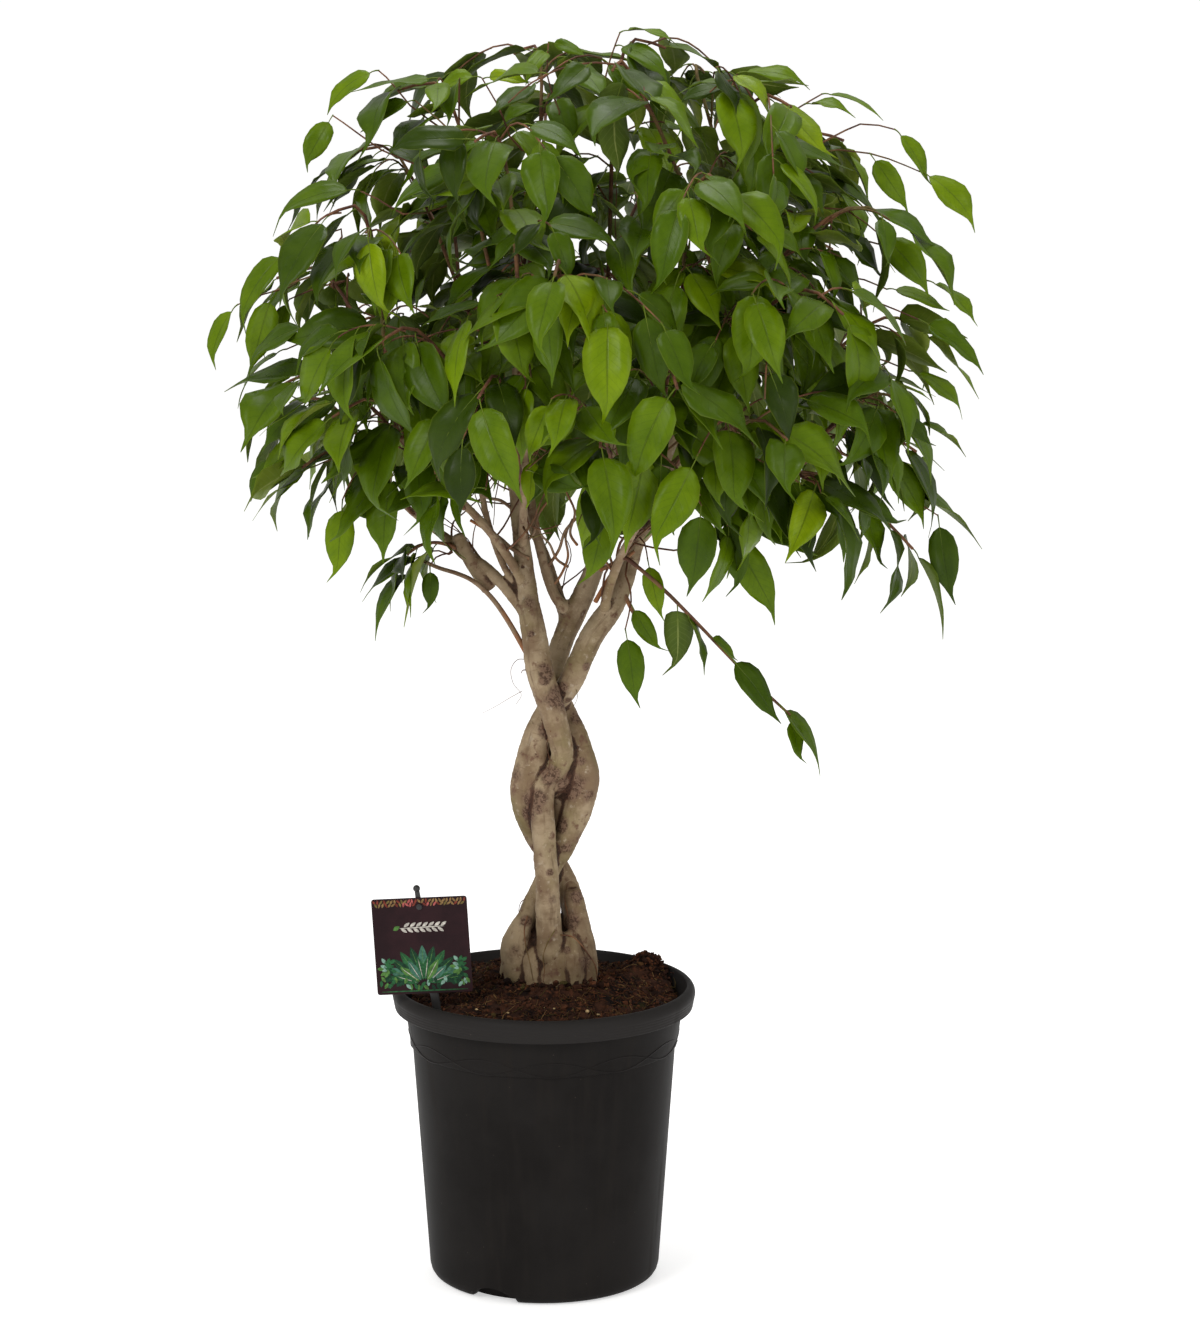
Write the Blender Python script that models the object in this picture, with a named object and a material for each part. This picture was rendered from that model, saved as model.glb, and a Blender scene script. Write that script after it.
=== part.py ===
"""Potted weeping fig: three plaited trunks under a round crown of drooping leafy sprays, in a nursery pot.

Metres, +Z up. The origin is the centre of the pot's flat underside, and -Y is the front.
"""

import math
import random

import bmesh
import bpy
from mathutils import Matrix, Vector
from mathutils.bvhtree import BVHTree
from mathutils.geometry import interpolate_bezier

MM = 0.001
UP = Vector((0, 0, 1))
CLEARANCE = 0.3 * MM  # between pieces that touch

# Pot: a 27 cm nursery container with a turned-down lip. Pairs are a radius and a height.
POT_HEIGHT = 0.2660
POT_WALL = 2.2 * MM
POT_FLOOR = 2.6 * MM
POT_FOOT_RADIUS = 0.0940
POT_BEVEL = (0.1005, 0.0035)  # halfway round the bottom corner
POT_CORNER = (0.1030, 0.0110)  # where the rounded corner meets the wall
POT_SHOULDER = (0.1166, 0.2030)  # where the straight wall ends
POT_STEP = (0.1182, 0.2050)  # where the collar starts
POT_COLLAR = (0.1236, 0.2450)  # where the collar meets the lip
LIP_RADIUS = 0.1350
LIP_WIDEST = 0.2560
LIP_BOTTOM = (0.1327, 0.2425)
LIP_CREST = (0.1290, 0.1320)  # radii where the rounded top begins and ends
LIP_THICKNESS = 2.0 * MM
POT_SIDES = 36
NOTCH_BEARINGS = (243.5, 3.5, 123.5)  # three drainage dents in the bottom edge
NOTCH_RADIUS = 0.018
NOTCH_DROP = 0.009  # the dent's cylinder lies this far below the underside
NOTCH_START = 0.086  # from the axis
NOTCH_LENGTH = 0.050
DRAIN_HOLES = 4
DRAIN_SIDES = 8
DRAIN_RADIUS = 0.005
DRAIN_CIRCLE = 0.055

# Soil: crumbly, a little higher round the trunk
SOIL_EDGE_HEIGHT = 0.2555
SOIL_MIDDLE_HEIGHT = 0.2640
SOIL_BUMP = 2.0 * MM
SOIL_HEAP = Vector((0.089, 0.058, 0.011))  # a heap's place, and how far it rises
SOIL_HEAP_RADIUS = 0.019
SOIL_LUMPS = (131, 117)  # how closely the lumps lie along X and Y, in radians per metre
SOIL_RINGS = (0.1155, 0.095, 0.074, 0.050, 0.024)

# Label: a bare card on a stake that leans to the left
LABEL_WIDTH = 0.084
LABEL_HEIGHT = 0.086
LABEL_THICKNESS = 0.8 * MM
LABEL_CORNER = 2 * MM
LABEL_CENTRE = Vector((-0.1055, -0.0640, 0.3165))
LABEL_ROLL = math.radians(-3.5)
LABEL_YAW = math.radians(-4)
STAKE_WIDTH = 0.0075
STAKE_THICKNESS = 2.6 * MM
STAKE_LEAN = math.radians(-9)
STAKE_BURIED = 0.045
STAKE_TAPER = 0.55  # its width at the top, as a share
STAKE_POINT = 0.020  # length of its point
STAKE_KNOB_RADIUS = 3.1 * MM
PEG_RADIUS = 1.6 * MM
PEG_HEIGHT = LABEL_HEIGHT / 2 - 0.008  # above the card's centre
PEG_HEAD = (2.6 * MM, 1.2 * MM)  # radius and thickness
ROD_SIDES = 12

# In the card's own frame: the stake's middle line behind it, its top, and where both pieces stand
STAKE_BACK = (LABEL_THICKNESS + STAKE_THICKNESS) / 2 + CLEARANCE
STAKE_TOP = LABEL_HEIGHT / 2 + 6 * MM
LABEL_TURN = Matrix.Rotation(LABEL_YAW, 4, "Z") @ Matrix.Rotation(LABEL_ROLL, 4, "Y")
LABEL_PLACE = Matrix.Translation(LABEL_CENTRE) @ LABEL_TURN
STAKE_PLACE = (
    LABEL_PLACE
    @ Matrix.Translation((0, 0, PEG_HEIGHT))
    @ Matrix.Rotation(STAKE_LEAN - LABEL_ROLL, 4, "Y")
    @ Matrix.Translation((0, 0, -PEG_HEIGHT))
)

# Trunks: the middle line of each, as x, y, z and radius in mm, from in the soil up into the crown
ROOT_DEPTH = 215
TRUNK_SIDES = 10
TRUNK_RINGS = 22
GRAFT_SIDES = 8
TRUNKS = {
    "front": (
        (9, -20, ROOT_DEPTH, 17), (9, -20, 268, 17), (6, -23, 302, 12.6), (3, -20, 366, 10.8),
        (-1, -11, 434, 10.6), (3, -8, 452, 11), (13, -8, 463, 10.8), (17, -12, 480, 10.2),
        (9.6, -17, 512, 11.4), (-1, -14, 545, 12.4), (-9, -8, 590, 11), (-15, -4, 632, 8.8),
        (-22, 2, 700, 7.2), (-25, 2, 780, 5.2), (-14, 4, 868, 3.6),
    ),
    "right": (
        (28, -3, ROOT_DEPTH, 20), (28, -3, 268, 20), (30, -1, 304, 15.5), (23.5, 8, 345, 11),
        (11, 15, 371, 10.4), (-4.5, 10, 397, 12), (-14, -1, 434, 15.8), (-10.5, -1, 466, 14.8),
        (-2, 3, 497, 12.6), (11, 6, 520, 11.2), (24, -2, 539, 11), (42, -7, 580, 11),
        (64, -4, 613, 10), (80, 4, 658, 8), (106, -6, 735, 6), (138, -10, 820, 4.4), (156, -6, 886, 3.2),
    ),
    "left": (
        (-21, 0, ROOT_DEPTH, 20), (-21, 0, 268, 20.5), (-20.5, -1, 300, 16), (-12.5, 1, 325, 11.4),
        (6, -2, 371, 10), (16.5, -2, 389, 10.4), (30.5, 0, 424, 13.2), (35.3, 1, 453, 14.6),
        (29, 5, 485, 12.2), (17, 14, 512, 10.6), (10, 22, 538, 9.8), (14, 18, 565, 10.3),
        (34, 13, 612, 10), (52, 12, 660, 7.5), (61, 22, 720, 6), (66, 34, 800, 4.6), (58, 42, 890, 3.3),
    ),
}
# Where the trunks have grown together inside the plait: two ends and a radius, in mm
GRAFTS = (
    ((8, 1, 445), (30, 4, 449), 10),
    ((3, 3, 448), (5, 5, 503), 6.5),
    ((13, 7, 388), (17, 6, 442), 8),
)

# Limbs: trunk, height where one leaves it, then its tip's bearing about the crown's axis in degrees,
# height and reach, and its radius in mm
LIMB_SIDES = 5
LIMB_RINGS = 5
LIMB_TIP_RADIUS = 2.8 * MM
LIMBS = (
    ("front", 0.580, 168, 0.700, 0.185, 6.6),
    ("front", 0.622, 205, 0.765, 0.185, 4.8),
    ("front", 0.655, 246, 0.790, 0.150, 4.6),
    ("front", 0.705, 128, 0.850, 0.150, 4.4),
    ("right", 0.600, 287, 0.735, 0.165, 4.8),
    ("right", 0.640, 332, 0.745, 0.195, 5.0),
    ("right", 0.700, 12, 0.800, 0.205, 4.6),
    ("right", 0.745, 312, 0.870, 0.155, 4.2),
    ("left", 0.600, 150, 0.780, 0.130, 5.6),
    ("left", 0.615, 58, 0.745, 0.180, 5.0),
    ("left", 0.650, 98, 0.775, 0.170, 4.8),
    ("left", 0.710, 33, 0.870, 0.150, 4.2),
)

# Crown: the surface that the sprays' ends lie on, about its own axis
CROWN_CENTRE = Vector((0.049, 0.0, 0.800))
CROWN_REACH = 0.286
CROWN_RISE = 0.292
CROWN_HANG = 0.090
CROWN_SQUARENESS = 2.5
CROWN_LOWEST = -0.62  # height of the lowest ends, where 1 is the top of a ball
LEAF_REACH = 0.346  # no leaf's tip hangs further out from the crown's axis
PARTING_BEARING = -112  # where the crown's lower edge is drawn up over the limbs
PARTING_LIFT = 0.055
PARTING_HEIGHTS = (0.15, -0.25)  # the lift sets in at the first and is whole at the second
SPRAY_COUNT = 41
GOLDEN_ANGLE = math.pi * (3 - math.sqrt(5))
SOCKETS = (1.0, 0.86, 0.72, 0.57, 0.42)  # where along a limb its sprays start
# Sprays that hang clear of the crown: end, rise before the fall, a point they start near, first leaf
# and the size of their leaves
TRAILERS = (
    (Vector((0.216, -0.030, 0.515)), 0.010, Vector((0.075, -0.050, 0.640)), 0.20, 0.78),
    (Vector((-0.118, -0.020, 0.655)), 0.010, Vector((-0.060, 0.020, 0.680)), 0.42, 0.80),
    (Vector((0.322, -0.020, 0.660)), 0.045, Vector((0.200, -0.060, 0.740)), 0.42, 0.90),
)

# Sprays: a slim stem with leaves by turns on its two sides and one at its end
STEM_RADIUS = 2.1 * MM
STEM_TIP_RADIUS = 1.3 * MM
STEM_RINGS = 5
STEM_SIDES = 3
STEM_ARCH = 0.040
STEM_SQUARE = 6 * MM  # a stem starts square off its limb for this far
STEM_CLEARANCE = 1.2 * MM
STEM_STRAY = 0.012  # how much further each new try strays
STEM_TRIES = 4
STEM_CHOICES = 8  # sockets tried
LEAVES_PER_SPRAY = 6
FIRST_LEAF = 0.42  # along the stem
LEAF_LENGTH = 0.089  # stalk, blade and drip tip
LEAF_LENGTH_SPREAD = 0.011
LEAF_THICKNESS = 0.7 * MM
LEAF_CLEARANCE = 0.6 * MM
LEAF_TRIES = 14
LAST_LEAF = 0.985  # the end leaf's root lies just inside the stem's tip
SEED = 27

# Half of the leaf's outline, as shares of its length: along and across
LEAF_OUTLINE = ((0.13, 0.014), (0.36, 0.208), (0.67, 0.150))
LEAF_MIDDLE = 0.50  # the midrib's one point between the stalk and the tip
LEAF_FOLD = 0.22  # rise of the blade's sides from the midrib
LEAF_WAVE = 0.022

COLOURS = {
    "pot": ((0.021, 0.021, 0.022), 0.55),
    "soil": ((0.030, 0.016, 0.010), 0.95),
    "bark": ((0.300, 0.235, 0.165), 0.80),
    "leaf": ((0.075, 0.150, 0.016), 0.35),
    "label": ((0.035, 0.012, 0.016), 0.45),
    "stake": ((0.012, 0.012, 0.012), 0.50),
}


def clear_scene():
    for obj in list(bpy.data.objects):
        bpy.data.objects.remove(obj, do_unlink=True)


def make_materials():
    made = {}
    for name, (colour, roughness) in COLOURS.items():
        material = bpy.data.materials.new(name)
        material.use_nodes = True
        shader = material.node_tree.nodes["Principled BSDF"]
        shader.inputs["Base Color"].default_value = (*colour, 1)
        shader.inputs["Roughness"].default_value = roughness
        made[name] = material
    return made


def object_of(name, bm, material, smooth=True):
    """A mesh object from a bmesh, which is freed."""
    mesh = bpy.data.meshes.new(name)
    bmesh.ops.recalc_face_normals(bm, faces=bm.faces)
    bm.to_mesh(mesh)
    bm.free()
    mesh.materials.append(material)
    if smooth:
        mesh.shade_smooth()
        mesh.set_sharp_from_angle(angle=math.radians(35))
    obj = bpy.data.objects.new(name, mesh)
    bpy.context.scene.collection.objects.link(obj)
    return obj


def combine(target, others, operation):
    """Joins the other objects to the target or cuts them from it, then removes them."""
    group = bpy.data.collections.new("operands")
    for other in others:
        group.objects.link(other)
    modifier = target.modifiers.new("combine", "BOOLEAN")
    modifier.operation = operation
    modifier.operand_type = "COLLECTION"
    modifier.collection = group
    modifier.solver = "EXACT"
    bpy.context.view_layer.update()
    evaluated = target.evaluated_get(bpy.context.evaluated_depsgraph_get())
    mesh = bpy.data.meshes.new_from_object(evaluated)
    target.modifiers.clear()
    target.data = mesh
    for other in others:
        bpy.data.objects.remove(other, do_unlink=True)
    bpy.data.collections.remove(group)
    return target


def turned(profile, sides):
    """A solid of revolution about Z. The profile starts and ends on the axis."""
    bm = bmesh.new()
    corners = [bm.verts.new((radius, 0, height)) for radius, height in profile]
    edges = [bm.edges.new(pair) for pair in zip(corners, corners[1:])]
    line = corners + edges
    bmesh.ops.spin(bm, geom=line, cent=(0, 0, 0), axis=UP, angle=2 * math.pi, steps=sides, use_merge=True)
    bmesh.ops.remove_doubles(bm, verts=bm.verts, dist=0.01 * MM)
    return bm


def tube(points, radii, sides):
    """A closed tube through the points, with one ring of corners square to its path at each."""
    bm = bmesh.new()
    side = Vector((0, 1, 0))
    rings = []
    for i, (point, radius) in enumerate(zip(points, radii)):
        ahead = (points[min(i + 1, len(points) - 1)] - points[max(i - 1, 0)]).normalized()
        side = (side - ahead * side.dot(ahead)).normalized()
        across = ahead.cross(side)
        rings.append(
            [
                bm.verts.new(point + radius * (math.cos(turn) * side + math.sin(turn) * across))
                for turn in (2 * math.pi * k / sides for k in range(sides))
            ]
        )
    for lower, upper in zip(rings, rings[1:]):
        for k in range(sides):
            bm.faces.new((lower[k], lower[(k + 1) % sides], upper[(k + 1) % sides], upper[k]))
    bm.faces.new(rings[0][::-1])
    bm.faces.new(rings[-1])
    return bm


def tree_of(bm):
    """The overlap tree of a bmesh."""
    bm.normal_update()
    return BVHTree.FromBMesh(bm)


def along(points, share):
    """The point and direction at a share of a path's length."""
    lengths = [(b - a).length for a, b in zip(points, points[1:])]
    left = share * sum(lengths)
    for a, b, length in zip(points, points[1:], lengths):
        if left <= length:
            break
        left -= length
    return a.lerp(b, min(left / length, 1)), (b - a).normalized()


def smooth_path(waypoints, count):
    """Points along a Catmull-Rom curve through waypoints of any dimension."""
    made = []
    last = len(waypoints) - 1
    for i in range(count):
        place = i / (count - 1) * last
        k = min(int(place), last - 1)
        t = place - k
        before, start = waypoints[max(k - 1, 0)], waypoints[k]
        end, after = waypoints[k + 1], waypoints[min(k + 2, last)]
        point = []
        for a, b, c, d in zip(before, start, end, after):
            square, cube = 2 * a - 5 * b + 4 * c - d, 3 * b - a - 3 * c + d
            point.append(0.5 * (2 * b + (c - a) * t + square * t**2 + cube * t**3))
        made.append(Vector(point))
    return made


def rod(radius, length, sides=ROD_SIDES):
    """A rod along Z about the origin."""
    bm = bmesh.new()
    bmesh.ops.create_cone(bm, cap_ends=True, segments=sides, radius1=radius, radius2=radius, depth=length)
    return bm


def notch_cutters(material, grow=0.0):
    """Cylinders lying radially under the pot's bottom edge. grow thickens them by a wall."""
    cutters = []
    place = Matrix.Translation((NOTCH_START - grow + NOTCH_LENGTH / 2, 0, -NOTCH_DROP))
    lying = place @ Matrix.Rotation(math.radians(90), 4, "Y")
    for bearing in NOTCH_BEARINGS:
        bm = rod(NOTCH_RADIUS + grow, NOTCH_LENGTH)
        bmesh.ops.transform(bm, matrix=Matrix.Rotation(math.radians(bearing), 4, "Z") @ lying, verts=bm.verts)
        cutters.append(object_of("notch_cutter", bm, material))
    return cutters


def cavity_profile(gap):
    """The inside of the pot up to the soil's edge, drawn in by a gap."""
    inset = POT_WALL + gap
    return (
        (0, POT_FLOOR + gap),
        (POT_FOOT_RADIUS - inset * 0.4, POT_FLOOR + gap),
        (POT_CORNER[0] - inset, POT_CORNER[1]),
        (POT_SHOULDER[0] - inset, POT_SHOULDER[1] + 1 * MM),
        (POT_COLLAR[0] - inset, POT_COLLAR[1]),
    )


def drain_cutters(material):
    cutters = []
    for k in range(DRAIN_HOLES):
        bm = rod(DRAIN_RADIUS, 4 * POT_FLOOR, DRAIN_SIDES)
        spot = bearing_vector(360 * (k + 0.5) / DRAIN_HOLES) * DRAIN_CIRCLE
        bmesh.ops.translate(bm, vec=spot, verts=bm.verts)
        cutters.append(object_of("drain_cutter", bm, material))
    return cutters


def make_pot(material):
    outer = (
        (0, 0),
        (POT_FOOT_RADIUS, 0),
        POT_BEVEL,
        POT_CORNER,
        POT_SHOULDER,
        POT_STEP,
        POT_COLLAR,
        (LIP_CREST[0], POT_HEIGHT - 2 * LIP_THICKNESS),
        (LIP_CREST[1] - 0.5 * MM, POT_HEIGHT - 2.4 * LIP_THICKNESS),
        (LIP_BOTTOM[0] - LIP_THICKNESS, LIP_BOTTOM[1]),
        LIP_BOTTOM,
        (LIP_RADIUS, LIP_WIDEST),
        (LIP_CREST[1], POT_HEIGHT - 1.5 * MM),
        (LIP_CREST[0], POT_HEIGHT),
        (0, POT_HEIGHT),
    )
    above = POT_HEIGHT + 1 * MM
    inner = cavity_profile(0) + ((LIP_CREST[0] - LIP_THICKNESS, above), (0, above))
    pot = object_of("pot", turned(outer, POT_SIDES), material)
    combine(pot, notch_cutters(material), "DIFFERENCE")
    cavity = object_of("cavity", turned(inner, POT_SIDES), material)
    combine(cavity, notch_cutters(material, POT_WALL), "DIFFERENCE")
    return combine(pot, [cavity] + drain_cutters(material), "DIFFERENCE")


def soil_height(x, y):
    """The soil's surface: a low mound with rounded lumps, and a heap by the rim."""
    edge = (x**2 + y**2) / SOIL_RINGS[0] ** 2
    mound = SOIL_MIDDLE_HEIGHT + (SOIL_EDGE_HEIGHT - SOIL_MIDDLE_HEIGHT) * edge
    away = ((x - SOIL_HEAP.x) ** 2 + (y - SOIL_HEAP.y) ** 2) / SOIL_HEAP_RADIUS**2
    lumps = math.sin(SOIL_LUMPS[0] * x + 1.3) * math.cos(SOIL_LUMPS[1] * y - 0.7) * min(1, edge * 4)
    return mound + SOIL_HEAP.z * math.exp(-away) + SOIL_BUMP * lumps


def make_soil(material, hole_cutters):
    side = cavity_profile(CLEARANCE)[:-1]
    rim = POT_COLLAR[0] - POT_WALL - CLEARANCE
    top = ((rim, POT_COLLAR[1] + 4 * MM),) + tuple((radius, SOIL_MIDDLE_HEIGHT) for radius in SOIL_RINGS)
    body = turned(side + top + ((0, SOIL_MIDDLE_HEIGHT),), POT_SIDES)
    for vert in body.verts:
        if vert.co.z > SOIL_MIDDLE_HEIGHT - 1 * MM:
            vert.co.z = soil_height(vert.co.x, vert.co.y)
    soil = object_of("soil", body, material)
    cutters = notch_cutters(material, POT_WALL + CLEARANCE) + hole_cutters
    return combine(soil, cutters, "DIFFERENCE")


def forward_rod(radius, length):
    """A rod from the origin towards the front."""
    bm = rod(radius, length)
    bmesh.ops.rotate(bm, matrix=Matrix.Rotation(math.radians(90), 3, "X"), verts=bm.verts)
    bmesh.ops.translate(bm, vec=(0, -length / 2, 0), verts=bm.verts)
    return bm


def make_label(material):
    """The card, with the hole that hangs it on the stake's peg."""
    bm = bmesh.new()
    bmesh.ops.create_cube(bm, size=1)
    bmesh.ops.scale(bm, vec=(LABEL_WIDTH, LABEL_THICKNESS, LABEL_HEIGHT), verts=bm.verts)
    corners = [e for e in bm.edges if (e.verts[0].co - e.verts[1].co).xz.length < CLEARANCE]
    bmesh.ops.bevel(bm, geom=corners, offset=LABEL_CORNER, segments=2, profile=0.5, affect="EDGES")
    card = object_of("label_card", bm, material, smooth=False)
    hole = forward_rod(PEG_RADIUS + CLEARANCE, 4 * LABEL_THICKNESS)
    bmesh.ops.translate(hole, vec=(0, 2 * LABEL_THICKNESS, PEG_HEIGHT), verts=hole.verts)
    combine(card, [object_of("peg_hole", hole, material)], "DIFFERENCE")
    card.location = LABEL_CENTRE
    card.rotation_euler = (0, LABEL_ROLL, LABEL_YAW)
    return card


def stake_spike(name, material, grow=0.0):
    """The stake's flat spike, from its point in the soil to above the card, in its place."""
    bm = bmesh.new()
    width, half = STAKE_WIDTH / 2 + grow, STAKE_THICKNESS / 2 + grow
    foot = (SOIL_EDGE_HEIGHT - STAKE_BURIED - LABEL_CENTRE.z) / math.cos(STAKE_LEAN)
    outline = ((-width * STAKE_TAPER, STAKE_TOP), (-width, 0), (-width, foot + STAKE_POINT), (0, foot - grow))
    outline += ((width, foot + STAKE_POINT), (width, 0), (width * STAKE_TAPER, STAKE_TOP))
    face = bm.faces.new([bm.verts.new((x, STAKE_BACK - half, z)) for x, z in outline])
    extruded = bmesh.ops.extrude_face_region(bm, geom=[face], use_keep_orig=True)["geom"]
    moved = [v for v in extruded if isinstance(v, bmesh.types.BMVert)]
    bmesh.ops.translate(bm, vec=(0, 2 * half, 0), verts=moved)
    bmesh.ops.transform(bm, matrix=STAKE_PLACE, verts=bm.verts)
    return object_of(name, bm, material, smooth=False)


def make_stake(material):
    """The spike behind the card, with a ball on top and a headed peg through the card."""
    knob = bmesh.new()
    bmesh.ops.create_icosphere(knob, subdivisions=1, radius=STAKE_KNOB_RADIUS)
    knob_height = STAKE_TOP + STAKE_KNOB_RADIUS * 0.6
    bmesh.ops.translate(knob, vec=(0, STAKE_BACK, knob_height), verts=knob.verts)
    bmesh.ops.transform(knob, matrix=STAKE_PLACE, verts=knob.verts)
    front = -LABEL_THICKNESS / 2 - CLEARANCE
    peg = forward_rod(PEG_RADIUS, STAKE_BACK - front + PEG_HEAD[1] / 2)
    head = forward_rod(*PEG_HEAD)
    bmesh.ops.translate(peg, vec=(0, STAKE_BACK, PEG_HEIGHT), verts=peg.verts)
    bmesh.ops.translate(head, vec=(0, front, PEG_HEIGHT), verts=head.verts)
    for piece in (peg, head):
        bmesh.ops.transform(piece, matrix=LABEL_PLACE, verts=piece.verts)
    parts = [object_of(n, b, material) for n, b in (("knob", knob), ("peg", peg), ("head", head))]
    return combine(stake_spike("label_stake", material), parts, "UNION")


def bearing_vector(degrees):
    return Vector((math.cos(math.radians(degrees)), math.sin(math.radians(degrees)), 0))


def trunk_paths():
    """Each trunk's ring centres and radii, in metres."""
    paths = {}
    for name, waypoints in TRUNKS.items():
        rings = smooth_path(waypoints, TRUNK_RINGS)
        paths[name] = ([Vector(r[:3]) * MM for r in rings], [r[3] * MM for r in rings])
    return paths


def limb_paths(trunks):
    """Each limb's points and radii: the upper end of each trunk, then the side limbs."""
    limbs = []
    for points, radii in trunks.values():
        limbs.append((points[-5:], radii[-5:]))
    for trunk, height, bearing, tip_height, reach, radius in LIMBS:
        points = trunks[trunk][0]
        start = min(points, key=lambda p: abs(p.z - height))
        tip = Vector((CROWN_CENTRE.x, CROWN_CENTRE.y, tip_height)) + bearing_vector(bearing) * reach
        span = tip - start
        rise = span.length * 0.30
        path = interpolate_bezier(
            start,
            start + span * 0.25 + UP * rise * 0.6,
            tip - span * 0.30 - UP * rise * 0.10,
            tip,
            LIMB_RINGS,
        )
        radii = [
            radius * MM + (LIMB_TIP_RADIUS - radius * MM) * i / (LIMB_RINGS - 1) for i in range(LIMB_RINGS)
        ]
        limbs.append((path, radii))
    return limbs


def spray_ends():
    """Each spray's end, arch, the point it starts near, its first leaf and the size of its leaves."""
    ends = []
    for i in range(SPRAY_COUNT):
        height = 1 - (i + 0.5) / SPRAY_COUNT * (1 - CROWN_LOWEST)
        out = math.sqrt(1 - height**2)
        level = (out**CROWN_SQUARENESS + abs(height) ** CROWN_SQUARENESS) ** (-1 / CROWN_SQUARENESS)
        tall = CROWN_RISE if height > 0 else CROWN_HANG / abs(CROWN_LOWEST)
        round_axis = bearing_vector(math.degrees(i * GOLDEN_ANGLE)) * out * level * CROWN_REACH
        facing = max(0, round_axis.normalized().dot(bearing_vector(PARTING_BEARING)))
        setting_in, whole = PARTING_HEIGHTS
        lift = PARTING_LIFT * facing**2 * min(1, max(0, setting_in - height) / (setting_in - whole))
        end = CROWN_CENTRE + round_axis + UP * (height * level * tall + lift)
        ends.append((end, STEM_ARCH, end, FIRST_LEAF, 1.0))
    return list(TRAILERS) + ends


def sockets_of(limbs):
    """Where sprays can start: the limb, whether at its tip, the point on its middle line, the direction."""
    found = []
    for index, (points, _) in enumerate(limbs):
        for share in SOCKETS:
            point, ahead = along(points, share)
            found.append((index, share == 1.0, point, ahead))
    return found


def stem_path(socket, end, arch, wood, rng, trial):
    """The stem's points: square off its limb's face, over a low arch and down to its end."""
    index, at_tip, point, ahead = socket
    start, leave = point + ahead * CLEARANCE, ahead
    if not at_tip:
        towards = end - point
        hit, leave, _, _ = wood[index].ray_cast(point, (towards - ahead * towards.dot(ahead)).normalized())
        if leave.dot(towards) < 0:
            leave = -leave
        start = hit + leave * CLEARANCE
    jitter = Vector([rng.uniform(-1, 1) for _ in range(3)]) * STEM_STRAY * trial
    reach = (end - start).length
    outward = Vector((end.x - CROWN_CENTRE.x, end.y - CROWN_CENTRE.y, 0)).normalized()
    falling = (outward * 0.8 - UP * 0.6) * reach * 0.35
    first = start + leave * max(0.012, reach * 0.12) + UP * arch * 0.5 + (end - start) * 0.16 + jitter
    second = end - falling + UP * arch * 0.4 + jitter
    points = interpolate_bezier(start, first, second, end, STEM_RINGS)
    points.insert(1, start + leave * STEM_SQUARE)
    return points


def stem_radii(points):
    last = len(points) - 1
    return [STEM_RADIUS + (STEM_TIP_RADIUS - STEM_RADIUS) * i / last for i in range(last + 1)]


def overlaps(tree, trees):
    return any(tree.overlap(other) for other in trees)


def grow_stems(limbs, trunks):
    """One stem to each end, from the nearest free socket from which it runs clear of everything before it."""
    rng = random.Random(SEED)
    wood = [tree_of(tube(points, radii, TRUNK_SIDES)) for points, radii in trunks.values()]
    wood += [tree_of(tube(points, radii, LIMB_SIDES)) for points, radii in limbs[len(trunks):]]
    free = sockets_of(limbs)
    stems, trees = [], []
    for end, arch, near, first_leaf, size in spray_ends():
        free.sort(key=lambda s: (s[2] - near).length)
        for trial, socket in ((t, s) for t in range(STEM_TRIES) for s in free[:STEM_CHOICES]):
            points = stem_path(socket, end, arch, wood, rng, trial)
            radii = stem_radii(points)
            slim = tree_of(tube(points, radii, STEM_SIDES))
            wide = tree_of(tube(points[2:], [r + STEM_CLEARANCE for r in radii[2:]], 4))
            if not (overlaps(slim, wood + trees) or overlaps(wide, wood + trees)):
                stems.append((points, radii, first_leaf, size))
                trees.append(slim)
                free.remove(socket)
                break
    return stems, wood + trees


def leaf_points(frame, grow=0.0):
    """The blade's middle surface: left and right outline, the stalk's root, the midrib's middle, the tip."""
    origin, ahead, normal, length, bend, wave = frame
    side = normal.cross(ahead)

    def at(x, y):
        lift = LEAF_FOLD * abs(y) - bend * x**2
        if abs(y) > 0.05:
            lift += wave * (1 if (y > 0) == (x < LEAF_MIDDLE) else -1)
        return origin + length * (ahead * x + side * y + normal * lift)

    left = [at(x, y + grow / length) for x, y in LEAF_OUTLINE]
    right = [at(x, -y - grow / length) for x, y in LEAF_OUTLINE]
    return left, right, at(0, 0), at(LEAF_MIDDLE, 0), at(1 + grow / length, 0)


def leaf_blade(frame, grow=0.0, stalk=True):
    """A closed blade with its stalk, the same triangles on both faces. grow makes it larger all round."""
    bm = bmesh.new()
    left, right, root, middle, tip = leaf_points(frame, grow)
    left, right = [bm.verts.new(p) for p in left], [bm.verts.new(p) for p in right]
    middle, tip = bm.verts.new(middle), bm.verts.new(tip)
    if stalk:
        bm.faces.new((bm.verts.new(root), right[0], left[0]))
    bm.faces.new((left[0], right[0], middle))
    for a, b in ((0, 1), (1, 2)):
        bm.faces.new((left[a], middle, left[b]))
        bm.faces.new((right[a], right[b], middle))
    bm.faces.new((left[2], middle, tip))
    bm.faces.new((right[2], tip, middle))
    half = (LEAF_THICKNESS / 2 + grow) * frame[2]
    bmesh.ops.translate(bm, vec=half, verts=bm.verts)
    made = bmesh.ops.extrude_face_region(bm, geom=bm.faces[:], use_keep_orig=True)["geom"]
    bmesh.ops.translate(bm, vec=-2 * half, verts=[v for v in made if isinstance(v, bmesh.types.BMVert)])
    return bm


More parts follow.
